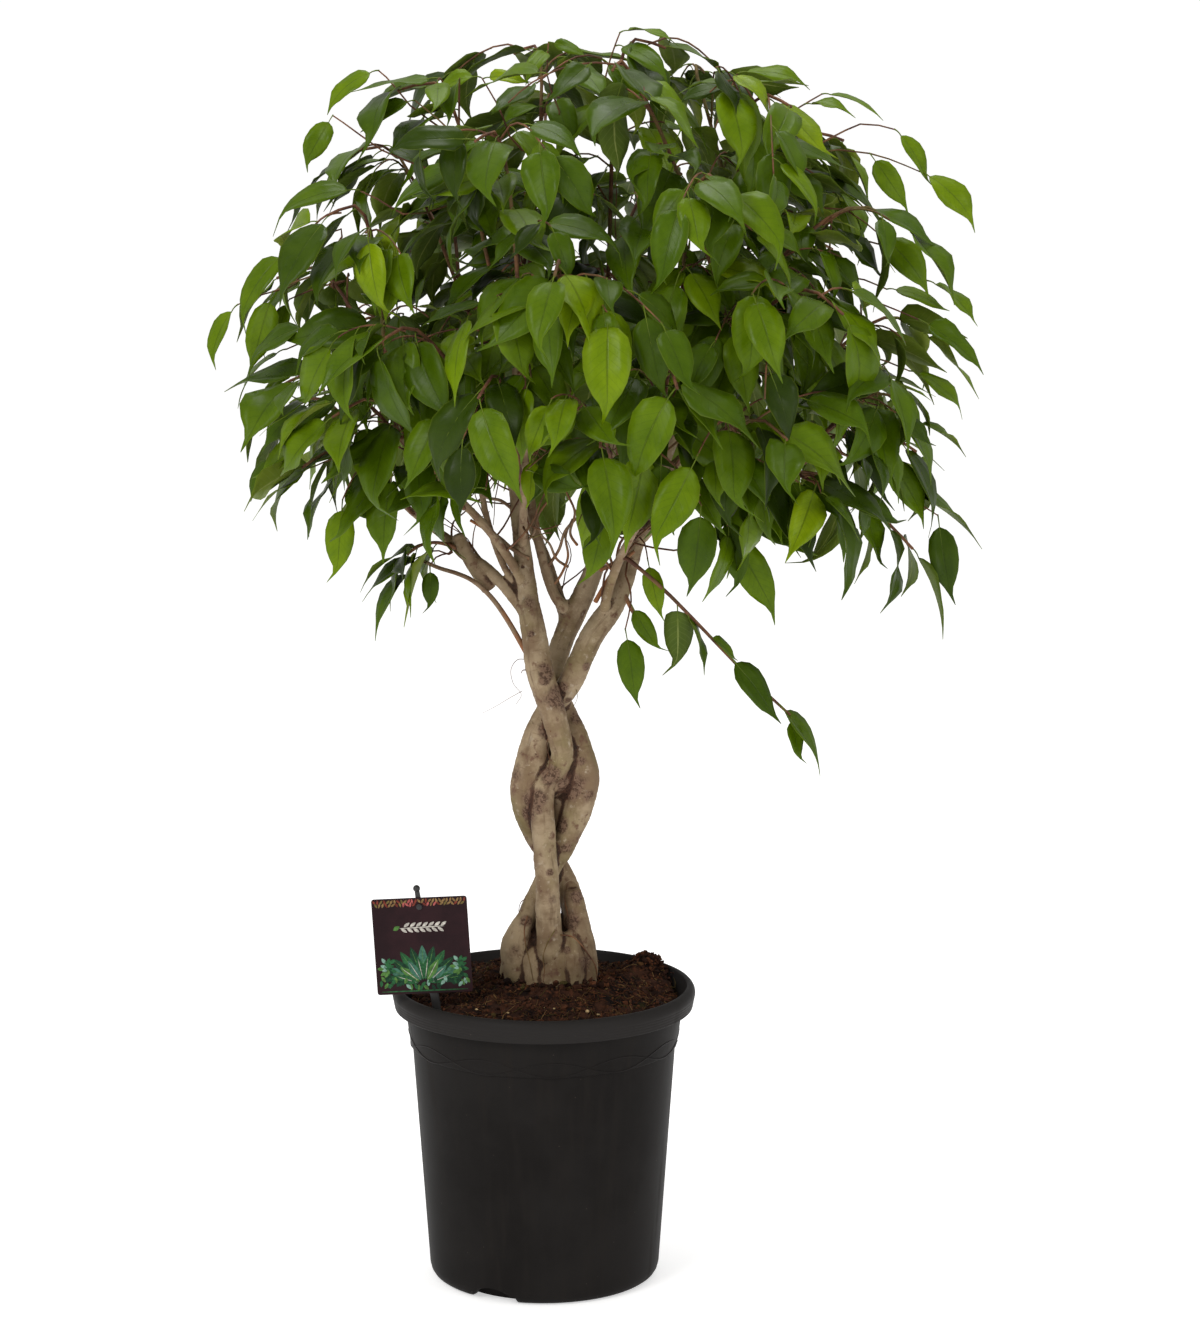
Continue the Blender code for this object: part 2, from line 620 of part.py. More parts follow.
def leaf_frame(points, share, flip, rng, trial, size):
    """Where one leaf sits and how it hangs: stalk start, direction, face normal, length, bend and wave."""
    origin, ahead = along(points, share)
    outward = origin - (CROWN_CENTRE - UP * 0.10)
    outward.normalize()
    level = Vector((outward.x, outward.y, 0)).normalized()
    side = ahead.cross(UP).normalized() * flip
    loose = 0.30 + 0.09 * trial
    stray = Vector([rng.gauss(0, loose) for _ in range(3)])
    steep = 1.05 - 0.75 * max(0, outward.z)
    hang = side * (0.0 if share == LAST_LEAF else 0.55) + ahead * 0.35 + level * 0.45 - UP * steep + stray
    hang.z = min(hang.z, 0.05)
    hang.normalize()
    normal = outward * 0.9 + UP * 0.45 + Vector([rng.gauss(0, 0.28) for _ in range(3)])
    normal = (normal - hang * normal.dot(hang)).normalized()
    length = size * rng.uniform(LEAF_LENGTH - LEAF_LENGTH_SPREAD, LEAF_LENGTH + LEAF_LENGTH_SPREAD)
    return origin, hang, normal, length, rng.uniform(0.05, 0.22), rng.uniform(-LEAF_WAVE, LEAF_WAVE)


def grow_leaves(stems, obstacles):
    """Leaves for each stem, each turned until it is clear of every stem, limb and leaf before it."""
    rng = random.Random(SEED + 1)
    trees = list(obstacles)
    stem_trees = obstacles[-len(stems):]
    sprays = []
    for number, (points, _, first_leaf, size) in enumerate(stems):
        others = [t for t in trees if t is not stem_trees[number]]
        leaves = []
        for k in range(LEAVES_PER_SPRAY):
            share = first_leaf + (LAST_LEAF - first_leaf) * k / (LEAVES_PER_SPRAY - 1)
            for trial in range(LEAF_TRIES):
                frame = leaf_frame(points, share, 1 if (k + number) % 2 else -1, rng, trial, size)
                tip = frame[0] + frame[1] * frame[3]
                if (tip - CROWN_CENTRE).xy.length > LEAF_REACH:
                    continue
                wide = tree_of(leaf_blade(frame, LEAF_CLEARANCE))
                bare = tree_of(leaf_blade(frame, LEAF_CLEARANCE, stalk=False))
                if overlaps(wide, others) or bare.overlap(stem_trees[number]):
                    continue
                leaves.append(frame)
                tree = tree_of(leaf_blade(frame))
                trees.append(tree)
                others.append(tree)
                break
        sprays.append(leaves)
    return sprays


def make_trunk(material, trunks, limbs):
    pieces = [object_of("braided_trunk", tube(*trunk, TRUNK_SIDES), material) for trunk in trunks.values()]
    for points, radii in limbs[len(trunks):]:
        pieces.append(object_of("limb", tube(points, radii, LIMB_SIDES), material))
    for start, end, radius in GRAFTS:
        points = [Vector(start) * MM, Vector(end) * MM]
        pieces.append(object_of("graft", tube(points, [radius * MM] * 2, GRAFT_SIDES), material))
    return combine(pieces[0], pieces[1:], "UNION")


def root_cutters(trunks, material):
    """The trunks' lower ends, grown by the clearance, which cut their plain holes in the soil."""
    cutters = []
    for points, radii in trunks.values():
        low = [(p, r) for p, r in zip(points, radii) if p.z < SOIL_MIDDLE_HEIGHT + 0.06]
        path = [p for p, _ in low]
        path[0] = path[0] - UP * CLEARANCE
        wide = [r + CLEARANCE * 1.3 for _, r in low]
        cutters.append(object_of("root_cutter", tube(path, wide, TRUNK_SIDES), material))
    return cutters


def make_spray(number, stem, leaves, material):
    points, radii = stem[:2]
    spray = object_of(f"leafy_spray_{number:02d}", tube(points, radii, STEM_SIDES), material)
    blades = [object_of("blade", leaf_blade(frame), material) for frame in leaves]
    return combine(spray, blades, "UNION")


def main():
    clear_scene()
    materials = make_materials()
    trunks = trunk_paths()
    limbs = limb_paths(trunks)
    stems, obstacles = grow_stems(limbs, trunks)
    sprays = grow_leaves(stems, obstacles)
    make_pot(materials["pot"])
    make_label(materials["label"])
    make_stake(materials["stake"])
    holes = root_cutters(trunks, materials["soil"])
    holes.append(stake_spike("stake_cutter", materials["soil"], CLEARANCE))
    make_soil(materials["soil"], holes)
    make_trunk(materials["bark"], trunks, limbs)
    for number, (stem, leaves) in enumerate(zip(stems, sprays), 1):
        make_spray(number, stem, leaves, materials["leaf"])
    print(len(stems), "sprays,", sum(len(leaves) for leaves in sprays), "leaves")


main()
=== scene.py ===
import math
import random

import bmesh
import bpy
from mathutils import Matrix, Vector, noise
from mathutils.bvhtree import BVHTree
from mathutils.geometry import interpolate_bezier
from mathutils.kdtree import KDTree


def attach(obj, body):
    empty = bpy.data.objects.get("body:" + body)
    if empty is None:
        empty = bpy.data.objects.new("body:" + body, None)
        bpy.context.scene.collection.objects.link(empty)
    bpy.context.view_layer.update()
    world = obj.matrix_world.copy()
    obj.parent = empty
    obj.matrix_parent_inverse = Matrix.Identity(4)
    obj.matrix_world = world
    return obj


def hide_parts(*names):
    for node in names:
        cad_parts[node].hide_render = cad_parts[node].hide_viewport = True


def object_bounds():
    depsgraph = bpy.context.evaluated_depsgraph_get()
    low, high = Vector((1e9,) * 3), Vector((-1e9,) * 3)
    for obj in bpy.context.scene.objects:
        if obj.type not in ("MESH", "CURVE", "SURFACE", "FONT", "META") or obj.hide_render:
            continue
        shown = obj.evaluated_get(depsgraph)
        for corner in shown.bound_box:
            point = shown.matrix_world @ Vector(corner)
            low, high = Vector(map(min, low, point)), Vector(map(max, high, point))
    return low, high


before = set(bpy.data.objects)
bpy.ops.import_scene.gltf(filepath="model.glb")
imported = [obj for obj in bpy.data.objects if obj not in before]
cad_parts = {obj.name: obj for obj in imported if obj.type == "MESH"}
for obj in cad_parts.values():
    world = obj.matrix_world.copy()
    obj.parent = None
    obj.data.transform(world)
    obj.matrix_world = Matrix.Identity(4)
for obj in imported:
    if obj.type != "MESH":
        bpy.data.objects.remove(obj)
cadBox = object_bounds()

mm = 0.001
up = Vector((0, 0, 1))
crown = {
    "centre": Vector((0.049, 0.0, 0.800)),
    "reach": 0.286,
    "rise": 0.292,
    "hang": 0.090,
    "squareness": 2.5,
    "lowest": -0.62,  # height of the lowest sprays, where 1 is the top of a ball
    "sprays": 41,
    "parting": (-112, 0.055),  # bearing where the lower edge is drawn up over the limbs, and how far
    "partingHeights": (0.15, -0.25),
    "leafReach": 0.346,  # no leaf's tip hangs further out from the crown's axis
}

# Camera, floor and lights

studio = {
    "eye": (0.05, -3.5, 1.181),
    "lookDown": 10.22,
    "focalPixels": 4046,
    "imageHeight": 1339,
    "sensor": 36,
    "floorSize": 900,
    "floorColour": (0.93, 0.93, 0.93, 1),
    "floorGlow": 0.40,  # the light that the floor gives
    "floorWhite": 0.12,  # and what the camera sees on top of it
    "worldColour": (1.0, 0.99, 0.98, 1),
    "worldStrength": 0.55,
    "backdropWhite": 0.5,  # what the camera sees on top of the world's light
    "aim": Vector((0.03, 0, 0.6)),
}
# name: where it stands, size, watts, colour
lamps = {
    "keyLight": ((-1.9, -2.6, 2.7), 1.5, 52, (1.0, 0.99, 0.97)),
    "fillLight": ((2.6, -2.2, 1.6), 1.8, 20, (1.0, 0.98, 0.96)),
    "topLight": ((0.2, 0.6, 3.0), 1.6, 28, (1.0, 1.0, 1.0)),
}


def setStudio():
    scene = bpy.context.scene
    camera = addObject("camera", bpy.data.cameras.new("camera"))
    camera.data.sensor_width = studio["sensor"]
    camera.data.lens = studio["focalPixels"] / studio["imageHeight"] * studio["sensor"]
    camera.location = studio["eye"]
    camera.rotation_euler = (math.radians(90 - studio["lookDown"]), 0, 0)
    scene.camera = camera
    scene.view_settings.view_transform = "Standard"
    scene.world = bpy.data.worlds.new("studio")
    scene.world.use_nodes = True
    tree = scene.world.node_tree
    background = tree.nodes["Background"]
    background.inputs["Color"].default_value = studio["worldColour"]
    seen = putNode(tree, "LightPath").outputs["Is Camera Ray"]
    bright = calculate(tree, "MULTIPLY_ADD", seen, studio["backdropWhite"], studio["worldStrength"])
    tree.links.new(bright, background.inputs["Strength"])
    for name, (place, size, watts, tint) in lamps.items():
        lamp = addObject(name, bpy.data.lights.new(name, "AREA"))
        lamp.data.shape = "DISK"
        lamp.data.size = size
        lamp.data.energy = watts
        lamp.data.color = tint
        lamp.location = place
        lamp.rotation_euler = (studio["aim"] - Vector(place)).to_track_quat("-Z", "Y").to_euler()
    bm = bmesh.new()
    bmesh.ops.create_grid(bm, x_segments=4, y_segments=4, size=studio["floorSize"] / 2)
    bmesh.ops.translate(bm, vec=(0, 0, -0.2 * mm), verts=bm.verts)
    floor = objectOf("floor", bm, [floorMaterial()], smooth=False)


# Node helpers and the groups that several finishes share

def putNode(tree, kind, inputs=None, **settings):
    node = tree.nodes.new("ShaderNode" + kind)
    for name, value in settings.items():
        setattr(node, name, value)
    for socket, value in (inputs or {}).items():
        if isinstance(value, bpy.types.NodeSocket):
            tree.links.new(value, node.inputs[socket])
        else:
            node.inputs[socket].default_value = value
    return node


def calculate(tree, operation, first, second=0.0, third=0.0):
    return putNode(tree, "Math", {0: first, 1: second, 2: third}, operation=operation).outputs[0]


def remap(tree, value, low, high, toLow=0.0, toHigh=1.0):
    inputs = {"Value": value, "From Min": low, "From Max": high, "To Min": toLow, "To Max": toHigh}
    return putNode(tree, "MapRange", inputs, interpolation_type="SMOOTHSTEP").outputs["Result"]


def blendColours(tree, factor, first, second, mode="MIX"):
    inputs = {0: factor, 6: first, 7: second}
    return putNode(tree, "Mix", inputs, data_type="RGBA", blend_type=mode).outputs[2]


def cover(tree, below, mask, strength, tint):
    # Lays a colour over another where a mask says
    return blendColours(tree, calculate(tree, "MULTIPLY", mask, strength), below, colour(*tint))


def readAttribute(tree, name, output="Fac"):
    return putNode(tree, "Attribute", attribute_name=name).outputs[output]


def colour(red, green, blue):
    # sRGB 0-255 to linear
    parts = [c / 255 for c in (red, green, blue)]
    return (*[c / 12.92 if c <= 0.04045 else ((c + 0.055) / 1.055) ** 2.4 for c in parts], 1)


def newGroup(name, outputs, **inputs):
    # Inputs without a default are colours. Every group has a place to work on.
    group = bpy.data.node_groups.new(name, "ShaderNodeTree")
    group.interface.new_socket("Vector", in_out="INPUT", socket_type="NodeSocketVector")
    for socket, default in inputs.items():
        kind = "NodeSocketColor" if default is None else "NodeSocketFloat"
        made = group.interface.new_socket(socket.replace("_", " "), in_out="INPUT", socket_type=kind)
        if default is not None:
            made.default_value = default
    for socket, kind in outputs.items():
        group.interface.new_socket(socket, in_out="OUTPUT", socket_type="NodeSocket" + kind)
    return group, group.nodes.new("NodeGroupInput").outputs, group.nodes.new("NodeGroupOutput").inputs


def groupNoise(group, given, scale, detail, **more):
    inputs = {"Vector": given["Vector"], "Scale": given[scale], "Detail": detail, **more}
    return putNode(group, "TexNoise", inputs).outputs["Fac"]


def mottleGroup():
    # Soft blotches that mix two colours
    outputs = {"Colour": "Color", "Factor": "Float"}
    group, given, result = newGroup("mottle", outputs, Scale=20.0, Roughness=0.6, Low=0.35, High=0.65,
                                    Colour_A=None, Colour_B=None)
    pattern = groupNoise(group, given, "Scale", 6.0, Roughness=given["Roughness"])
    factor = remap(group, pattern, given["Low"], given["High"])
    group.links.new(factor, result["Factor"])
    group.links.new(blendColours(group, factor, given["Colour A"], given["Colour B"]), result["Colour"])
    return group


def speckGroup():
    # Scattered small soft spots
    group, given, result = newGroup("specks", {"Factor": "Float"}, Scale=200.0, Size=0.25, Share=0.5)
    cells = putNode(group, "TexVoronoi", {"Vector": given["Vector"], "Scale": given["Scale"]})
    spot = remap(group, cells.outputs["Distance"], given["Size"], 0.0)
    pick = putNode(group, "SeparateColor", {"Color": cells.outputs["Color"]}).outputs[0]
    chosen = calculate(group, "LESS_THAN", pick, given["Share"])
    group.links.new(calculate(group, "MULTIPLY", spot, chosen), result["Factor"])
    return group


def grainGroup():
    # Height of a two-scale grain
    group, given, result = newGroup("grain", {"Height": "Float"}, Coarse=60.0, Fine=600.0, Fine_share=0.4)
    coarse, fine = groupNoise(group, given, "Coarse", 4.0), groupNoise(group, given, "Fine", 3.0)
    mixed = putNode(group, "Mix", {0: given["Fine share"], 2: coarse, 3: fine})
    group.links.new(mixed.outputs[0], result["Height"])
    return group


groups = {"mottle": mottleGroup(), "specks": speckGroup(), "grain": grainGroup()}


def useGroup(tree, name, **inputs):
    inputs = {socket.replace("_", " "): value for socket, value in inputs.items()}
    return putNode(tree, "Group", inputs, node_tree=groups[name]).outputs


def newMaterial(name, roughness, specular=0.5):
    material = bpy.data.materials.new(name)
    material.use_nodes = True
    tree = material.node_tree
    shader = tree.nodes["Principled BSDF"]
    shader.inputs["Roughness"].default_value = roughness
    shader.inputs["Specular IOR Level"].default_value = specular
    return material, tree, shader


def setBump(tree, shader, height, strength, distance):
    # The distance is in mm
    bump = putNode(tree, "Bump", {"Height": height, "Strength": strength, "Distance": distance * mm})
    tree.links.new(bump.outputs["Normal"], shader.inputs["Normal"])


def stretched(tree, place, stretch):
    return putNode(tree, "Mapping", {"Vector": place, "Scale": stretch}).outputs["Vector"]


def objectCoordinates(tree, stretch=(1, 1, 1)):
    return stretched(tree, putNode(tree, "TexCoord").outputs["Object"], stretch)


def blotches(tree, place, ground, layers):
    # Each layer has its scale, the noise where it sets in, the noise where it is full, and its colour
    for scale, low, high, tint in layers:
        layer = useGroup(tree, "mottle", Vector=place, Scale=scale, Low=low, High=high,
                         Colour_A=ground, Colour_B=colour(*tint))
        ground = layer["Colour"]
    return layer


def dustOver(tree, place, below, scale, size, share, strength, tint):
    spots = useGroup(tree, "specks", Vector=place, Scale=scale, Size=size, Share=share)
    return cover(tree, below, spots["Factor"], strength, tint)


def addGrain(tree, shader, place, coarse, fine, share, strength, distance):
    grain = useGroup(tree, "grain", Vector=place, Coarse=coarse, Fine=fine, Fine_share=share)
    setBump(tree, shader, grain["Height"], strength, distance)


def shadeBy(tree, place, base, scale, low, high, dark, light):
    # Multiplies a colour by soft blotches, and gives the blotches' factor as well
    shade = useGroup(tree, "mottle", Vector=place, Scale=scale, Low=low, High=high,
                     Colour_A=(*dark, 1), Colour_B=(*light, 1))
    return blendColours(tree, 1.0, base, shade["Colour"], "MULTIPLY"), shade["Factor"]


def toneRamp(tree, stops):
    # The colour that a piece's tone attribute picks
    ramp = putNode(tree, "ValToRGB", {"Fac": readAttribute(tree, "tone")})
    elements = ramp.color_ramp.elements
    while len(elements) < len(stops):
        elements.new(0.5)
    for element, (place, tint) in zip(elements, stops):
        element.position = place
        element.color = colour(*tint)
    return ramp.outputs["Color"]


# Finishes made only of blotches, dust and grain. The surface is roughness and specular level. Dust has its
# scale, size, share, strength and colour. Grain has two scales, the finer one's share, and the bump's
# strength and distance.
finishes = {
    "peat": {
        "surface": (0.95, 0.12),
        "ground": (18, 11, 9),
        "blotches": ((55.0, 0.38, 0.62, (62, 38, 27)), (150.0, 0.52, 0.70, (84, 49, 32)),
                     (24.0, 0.60, 0.74, (54, 50, 26))),
        "grain": (300.0, 1400.0, 0.5, 0.9, 1.2),
    },
    "card": {
        "surface": (0.38, 0.12),
        "ground": (31, 14, 18),
        "blotches": ((30.0, 0.35, 0.65, (43, 21, 25)),),
        "dust": (900.0, 0.35, 0.5, 0.16, (72, 46, 48)),
        "grain": (25.0, 900.0, 0.1, 0.15, 0.5),
    },
    "stakePlastic": {
        "surface": (0.45, 0.5),
        "ground": (22, 22, 23),
        "blotches": ((60.0, 0.35, 0.65, (36, 35, 34)),),
        "dust": (500.0, 0.2, 0.15, 0.4, (96, 80, 66)),
        "grain": (150.0, 1500.0, 0.4, 0.2, 0.3),
    },
    "deadTwig": {  # tan, with orange-brown parts
        "surface": (0.75, 0.25),
        "ground": (110, 84, 62),
        "blotches": ((60.0, 0.35, 0.65, (142, 120, 96)), (14.0, 0.50, 0.60, (150, 98, 62))),
        "dust": (700.0, 0.3, 0.2, 0.6, (84, 56, 40)),
        "grain": (300.0, 1500.0, 0.4, 0.4, 0.4),
    },
    "twigBark": {
        "surface": (0.7, 0.3),
        "ground": (78, 46, 32),
        "blotches": ((70.0, 0.35, 0.65, (124, 84, 56)), (16.0, 0.50, 0.70, (98, 88, 44))),
        "dust": (900.0, 0.3, 0.2, 0.5, (168, 138, 106)),
        "grain": (400.0, 1600.0, 0.4, 0.4, 0.3),
    },
}


def plainFinish(name):
    finish = finishes[name]
    material, tree, shader = newMaterial(name, *finish["surface"])
    place = objectCoordinates(tree)
    shade = blotches(tree, place, colour(*finish["ground"]), finish["blotches"])["Colour"]
    if "dust" in finish:
        shade = dustOver(tree, place, shade, *finish["dust"])
    tree.links.new(shade, shader.inputs["Base Color"])
    addGrain(tree, shader, place, *finish["grain"])
    return material


def floorMaterial():
    material, tree, shader = newMaterial("floor", 0.7)
    shader.inputs["Base Color"].default_value = studio["floorColour"]
    shader.inputs["Emission Color"].default_value = (1, 1, 1, 1)
    seen = putNode(tree, "LightPath").outputs["Is Camera Ray"]
    glow = calculate(tree, "MULTIPLY_ADD", seen, studio["floorWhite"], studio["floorGlow"])
    tree.links.new(glow, shader.inputs["Emission Strength"])
    return material


# Mesh helpers

def addObject(name, data):
    made = bpy.data.objects.new(name, data)
    bpy.context.scene.collection.objects.link(made)
    return made


def objectOf(name, bm, materials, smooth=True, sharp=None):
    mesh = bpy.data.meshes.new(name)
    bm.to_mesh(mesh)
    bm.free()
    for material in materials:
        mesh.materials.append(material)
    if smooth:
        mesh.shade_smooth()
    if sharp:
        mesh.set_sharp_from_angle(angle=math.radians(sharp))
    return addObject(name, mesh)


def addPiece(name, bm, materials, slot, nodes=(), **shading):
    piece = objectOf(name, bm, materials, **shading)
    if nodes:
        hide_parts(*nodes)
    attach(piece, "root")
    print(name, len(piece.data.polygons))
    return piece


def takeMesh(holder):
    # The mesh that an object shows with its bevel or modifiers, in place of the object
    bpy.context.view_layer.update()
    mesh = bpy.data.meshes.new_from_object(holder.evaluated_get(bpy.context.evaluated_depsgraph_get()))
    bpy.data.objects.remove(holder)
    return mesh


def tubeMesh(lines, roundness, closed=False):
    # Tubes through lines of (x, y, z, radius), with 4 + 2 * roundness sides
    curve = bpy.data.curves.new("tubes", "CURVE")
    curve.dimensions = "3D"
    curve.bevel_depth = 1
    curve.bevel_resolution = roundness
    curve.use_fill_caps = not closed
    for line in lines:
        spline = curve.splines.new("POLY")
        spline.points.add(len(line) - 1)
        spline.points.foreach_set("co", [c for point in line for c in (*point[:3], 1)])
        spline.points.foreach_set("radius", [point[3] for point in line])
        spline.use_cyclic_u = closed
    mesh = takeMesh(addObject("tubes", curve))
    bpy.data.curves.remove(curve)
    return mesh


def addMesh(bm, mesh, materialIndex=0):
    # Adds a mesh to a bmesh, merged and facing out, and drops the mesh
    before = set(bm.verts)
    bm.from_mesh(mesh)
    added = [v for v in bm.verts if v not in before]
    bmesh.ops.remove_doubles(bm, verts=added, dist=0.002 * mm)
    faces = [f for f in bm.faces if f.verts[0] not in before]
    bmesh.ops.recalc_face_normals(bm, faces=faces)
    for face in faces:
        face.material_index = materialIndex
        face.smooth = True
    bpy.data.meshes.remove(mesh)
    return faces


def addTubes(name, lines, roundness, material):
    bm = bmesh.new()
    addMesh(bm, tubeMesh(lines, roundness))
    addPiece(name, bm, [material], "bark")


def vertsOf(geometry):
    return [v for v in geometry if isinstance(v, bmesh.types.BMVert)]


def bearing(degrees):
    return Vector((math.cos(math.radians(degrees)), math.sin(math.radians(degrees)), 0))


# Growth: the same rule and the same draws as the solids, so each fine spray hangs where its solid does

trunks = {  # x, y, z and radius in mm
    "front": (
        (9, -20, 215, 17), (9, -20, 268, 17), (6, -23, 302, 12.6), (3, -20, 366, 10.8),
        (-1, -11, 434, 10.6), (3, -8, 452, 11), (13, -8, 463, 10.8), (17, -12, 480, 10.2),
        (9.6, -17, 512, 11.4), (-1, -14, 545, 12.4), (-9, -8, 590, 11), (-15, -4, 632, 8.8),
        (-22, 2, 700, 7.2), (-25, 2, 780, 5.2), (-14, 4, 868, 3.6),
    ),
    "right": (
        (28, -3, 215, 20), (28, -3, 268, 20), (30, -1, 304, 15.5), (23.5, 8, 345, 11),
        (11, 15, 371, 10.4), (-4.5, 10, 397, 12), (-14, -1, 434, 15.8), (-10.5, -1, 466, 14.8),
        (-2, 3, 497, 12.6), (11, 6, 520, 11.2), (24, -2, 539, 11), (42, -7, 580, 11),
        (64, -4, 613, 10), (80, 4, 658, 8), (106, -6, 735, 6), (138, -10, 820, 4.4), (156, -6, 886, 3.2),
    ),
    "left": (
        (-21, 0, 215, 20), (-21, 0, 268, 20.5), (-20.5, -1, 300, 16), (-12.5, 1, 325, 11.4),
        (6, -2, 371, 10), (16.5, -2, 389, 10.4), (30.5, 0, 424, 13.2), (35.3, 1, 453, 14.6),
        (29, 5, 485, 12.2), (17, 14, 512, 10.6), (10, 22, 538, 9.8), (14, 18, 565, 10.3),
        (34, 13, 612, 10), (52, 12, 660, 7.5), (61, 22, 720, 6), (66, 34, 800, 4.6), (58, 42, 890, 3.3),
    ),
}
# trunk, height where the limb leaves it, then its tip's bearing, height and reach, and its radius in mm
limbPlan = (
    ("front", 0.580, 168, 0.700, 0.185, 6.6), ("front", 0.622, 205, 0.765, 0.185, 4.8),
    ("front", 0.655, 246, 0.790, 0.150, 4.6), ("front", 0.705, 128, 0.850, 0.150, 4.4),
    ("right", 0.600, 287, 0.735, 0.165, 4.8), ("right", 0.640, 332, 0.745, 0.195, 5.0),
    ("right", 0.700, 12, 0.800, 0.205, 4.6), ("right", 0.745, 312, 0.870, 0.155, 4.2),
    ("left", 0.600, 150, 0.780, 0.130, 5.6), ("left", 0.615, 58, 0.745, 0.180, 5.0),
    ("left", 0.650, 98, 0.775, 0.170, 4.8), ("left", 0.710, 33, 0.870, 0.150, 4.2),
)
growth = {
    "clearance": 0.3 * mm,
    "trunkSides": 10,
    "trunkRings": 22,
    "limbSides": 5,
    "limbRings": 5,
    "limbTip": 2.8 * mm,
    "sockets": (1.0, 0.86, 0.72, 0.57, 0.42),  # where along a limb its sprays start
    "stemRadius": 2.1 * mm,
    "stemTip": 1.3 * mm,
    "stemRings": 5,
    "stemSides": 3,
    "stemArch": 0.040,
    "stemSquare": 6 * mm,
    "stemClearance": 1.2 * mm,
    "stemStray": 0.012,
    "stemTries": 4,
    "stemChoices": 8,
    "leavesPerSpray": 6,
    "firstLeaf": 0.42,
    "lastLeaf": 0.985,
    "leafLength": (0.078, 0.100),
    "leafThickness": 0.7 * mm,
    "leafClearance": 0.6 * mm,
    "leafTries": 14,
    "leafOutline": ((0.13, 0.014), (0.36, 0.208), (0.67, 0.150)),
    "leafMiddle": 0.50,
    "leafFold": 0.22,
    "leafWave": 0.022,
    "seed": 27,
}
# Sprays that hang clear of the crown: end, arch, a point they start near, first leaf, size of their leaves
trailers = (
    (Vector((0.216, -0.030, 0.515)), 0.010, Vector((0.075, -0.050, 0.640)), 0.20, 0.78),
    (Vector((-0.118, -0.020, 0.655)), 0.010, Vector((-0.060, 0.020, 0.680)), 0.42, 0.80),
    (Vector((0.322, -0.020, 0.660)), 0.045, Vector((0.200, -0.060, 0.740)), 0.42, 0.90),
)


def plainTube(points, radii, sides):
    bm = bmesh.new()
    side = Vector((0, 1, 0))
    rings = []
    for i, (point, radius) in enumerate(zip(points, radii)):
        ahead = (points[min(i + 1, len(points) - 1)] - points[max(i - 1, 0)]).normalized()
        side = (side - ahead * side.dot(ahead)).normalized()
        across = ahead.cross(side)
        turns = [2 * math.pi * k / sides for k in range(sides)]
        spokes = [math.cos(t) * side + math.sin(t) * across for t in turns]
        rings.append([bm.verts.new(point + radius * spoke) for spoke in spokes])
    for lower, upper in zip(rings, rings[1:]):
        for k in range(sides):
            bm.faces.new((lower[k], lower[(k + 1) % sides], upper[(k + 1) % sides], upper[k]))
    bm.faces.new(rings[0][::-1])
    bm.faces.new(rings[-1])
    return bm


def treeOf(bm):
    bm.normal_update()
    tree = BVHTree.FromBMesh(bm)
    bm.free()
    return tree


def taper(thick, slim, count):
    return [thick + (slim - thick) * i / (count - 1) for i in range(count)]


def scatter(rng, spread):
    return Vector([rng.gauss(0, spread) for _ in range(3)])


def along(points, share):
    lengths = [(b - a).length for a, b in zip(points, points[1:])]
    left = share * sum(lengths)
    for a, b, length in zip(points, points[1:], lengths):
        if left <= length:
            break
        left -= length
    return a.lerp(b, min(left / length, 1)), (b - a).normalized()


def smoothPath(waypoints, count):
    # Points along a Catmull-Rom curve through waypoints of any dimension
    made = []
    last = len(waypoints) - 1
    for i in range(count):
        place = i / (count - 1) * last
        k = min(int(place), last - 1)
        t = place - k
        before, start = waypoints[max(k - 1, 0)], waypoints[k]
        end, after = waypoints[k + 1], waypoints[min(k + 2, last)]
        point = []
        for a, b, c, d in zip(before, start, end, after):
            square, cube = 2 * a - 5 * b + 4 * c - d, 3 * b - a - 3 * c + d
            point.append(0.5 * (2 * b + (c - a) * t + square * t**2 + cube * t**3))
        made.append(Vector(point))
    return made


def trunkPaths():
    paths = {}
    for name, waypoints in trunks.items():
        rings = smoothPath(waypoints, growth["trunkRings"])
        paths[name] = ([Vector(r[:3]) * mm for r in rings], [r[3] * mm for r in rings])
    return paths


def limbPaths(paths, rings):
    # Each limb's points and radii: the upper end of each trunk, then the side limbs
    limbs = []
    for points, radii in paths.values():
        limbs.append((points[-5:], radii[-5:]))
    for trunk, height, turn, tipHeight, reach, radius in limbPlan:
        start = min(paths[trunk][0], key=lambda p: abs(p.z - height))
        tip = Vector((crown["centre"].x, crown["centre"].y, tipHeight)) + bearing(turn) * reach
        span = tip - start
        rise = span.length * 0.30
        first = start + span * 0.25 + up * rise * 0.6
        second = tip - span * 0.30 - up * rise * 0.10
        path = interpolate_bezier(start, first, second, tip, rings)
        limbs.append((path, taper(radius * mm, growth["limbTip"], rings)))
    return limbs


def sprayEnds():
    ends = []
    goldenAngle = math.pi * (3 - math.sqrt(5))
    for i in range(crown["sprays"]):
        height = 1 - (i + 0.5) / crown["sprays"] * (1 - crown["lowest"])
        out = math.sqrt(1 - height**2)
        power = crown["squareness"]
        level = (out**power + abs(height) ** power) ** (-1 / power)
        tall = crown["rise"] if height > 0 else crown["hang"] / abs(crown["lowest"])
        roundAxis = bearing(math.degrees(i * goldenAngle)) * out * level * crown["reach"]
        turn, lift = crown["parting"]
        facing = max(0, roundAxis.normalized().dot(bearing(turn)))
        settingIn, whole = crown["partingHeights"]
        lift = lift * facing**2 * min(1, max(0, settingIn - height) / (settingIn - whole))
        end = crown["centre"] + roundAxis + up * (height * level * tall + lift)
        ends.append((end, growth["stemArch"], end, growth["firstLeaf"], 1.0))
    return list(trailers) + ends


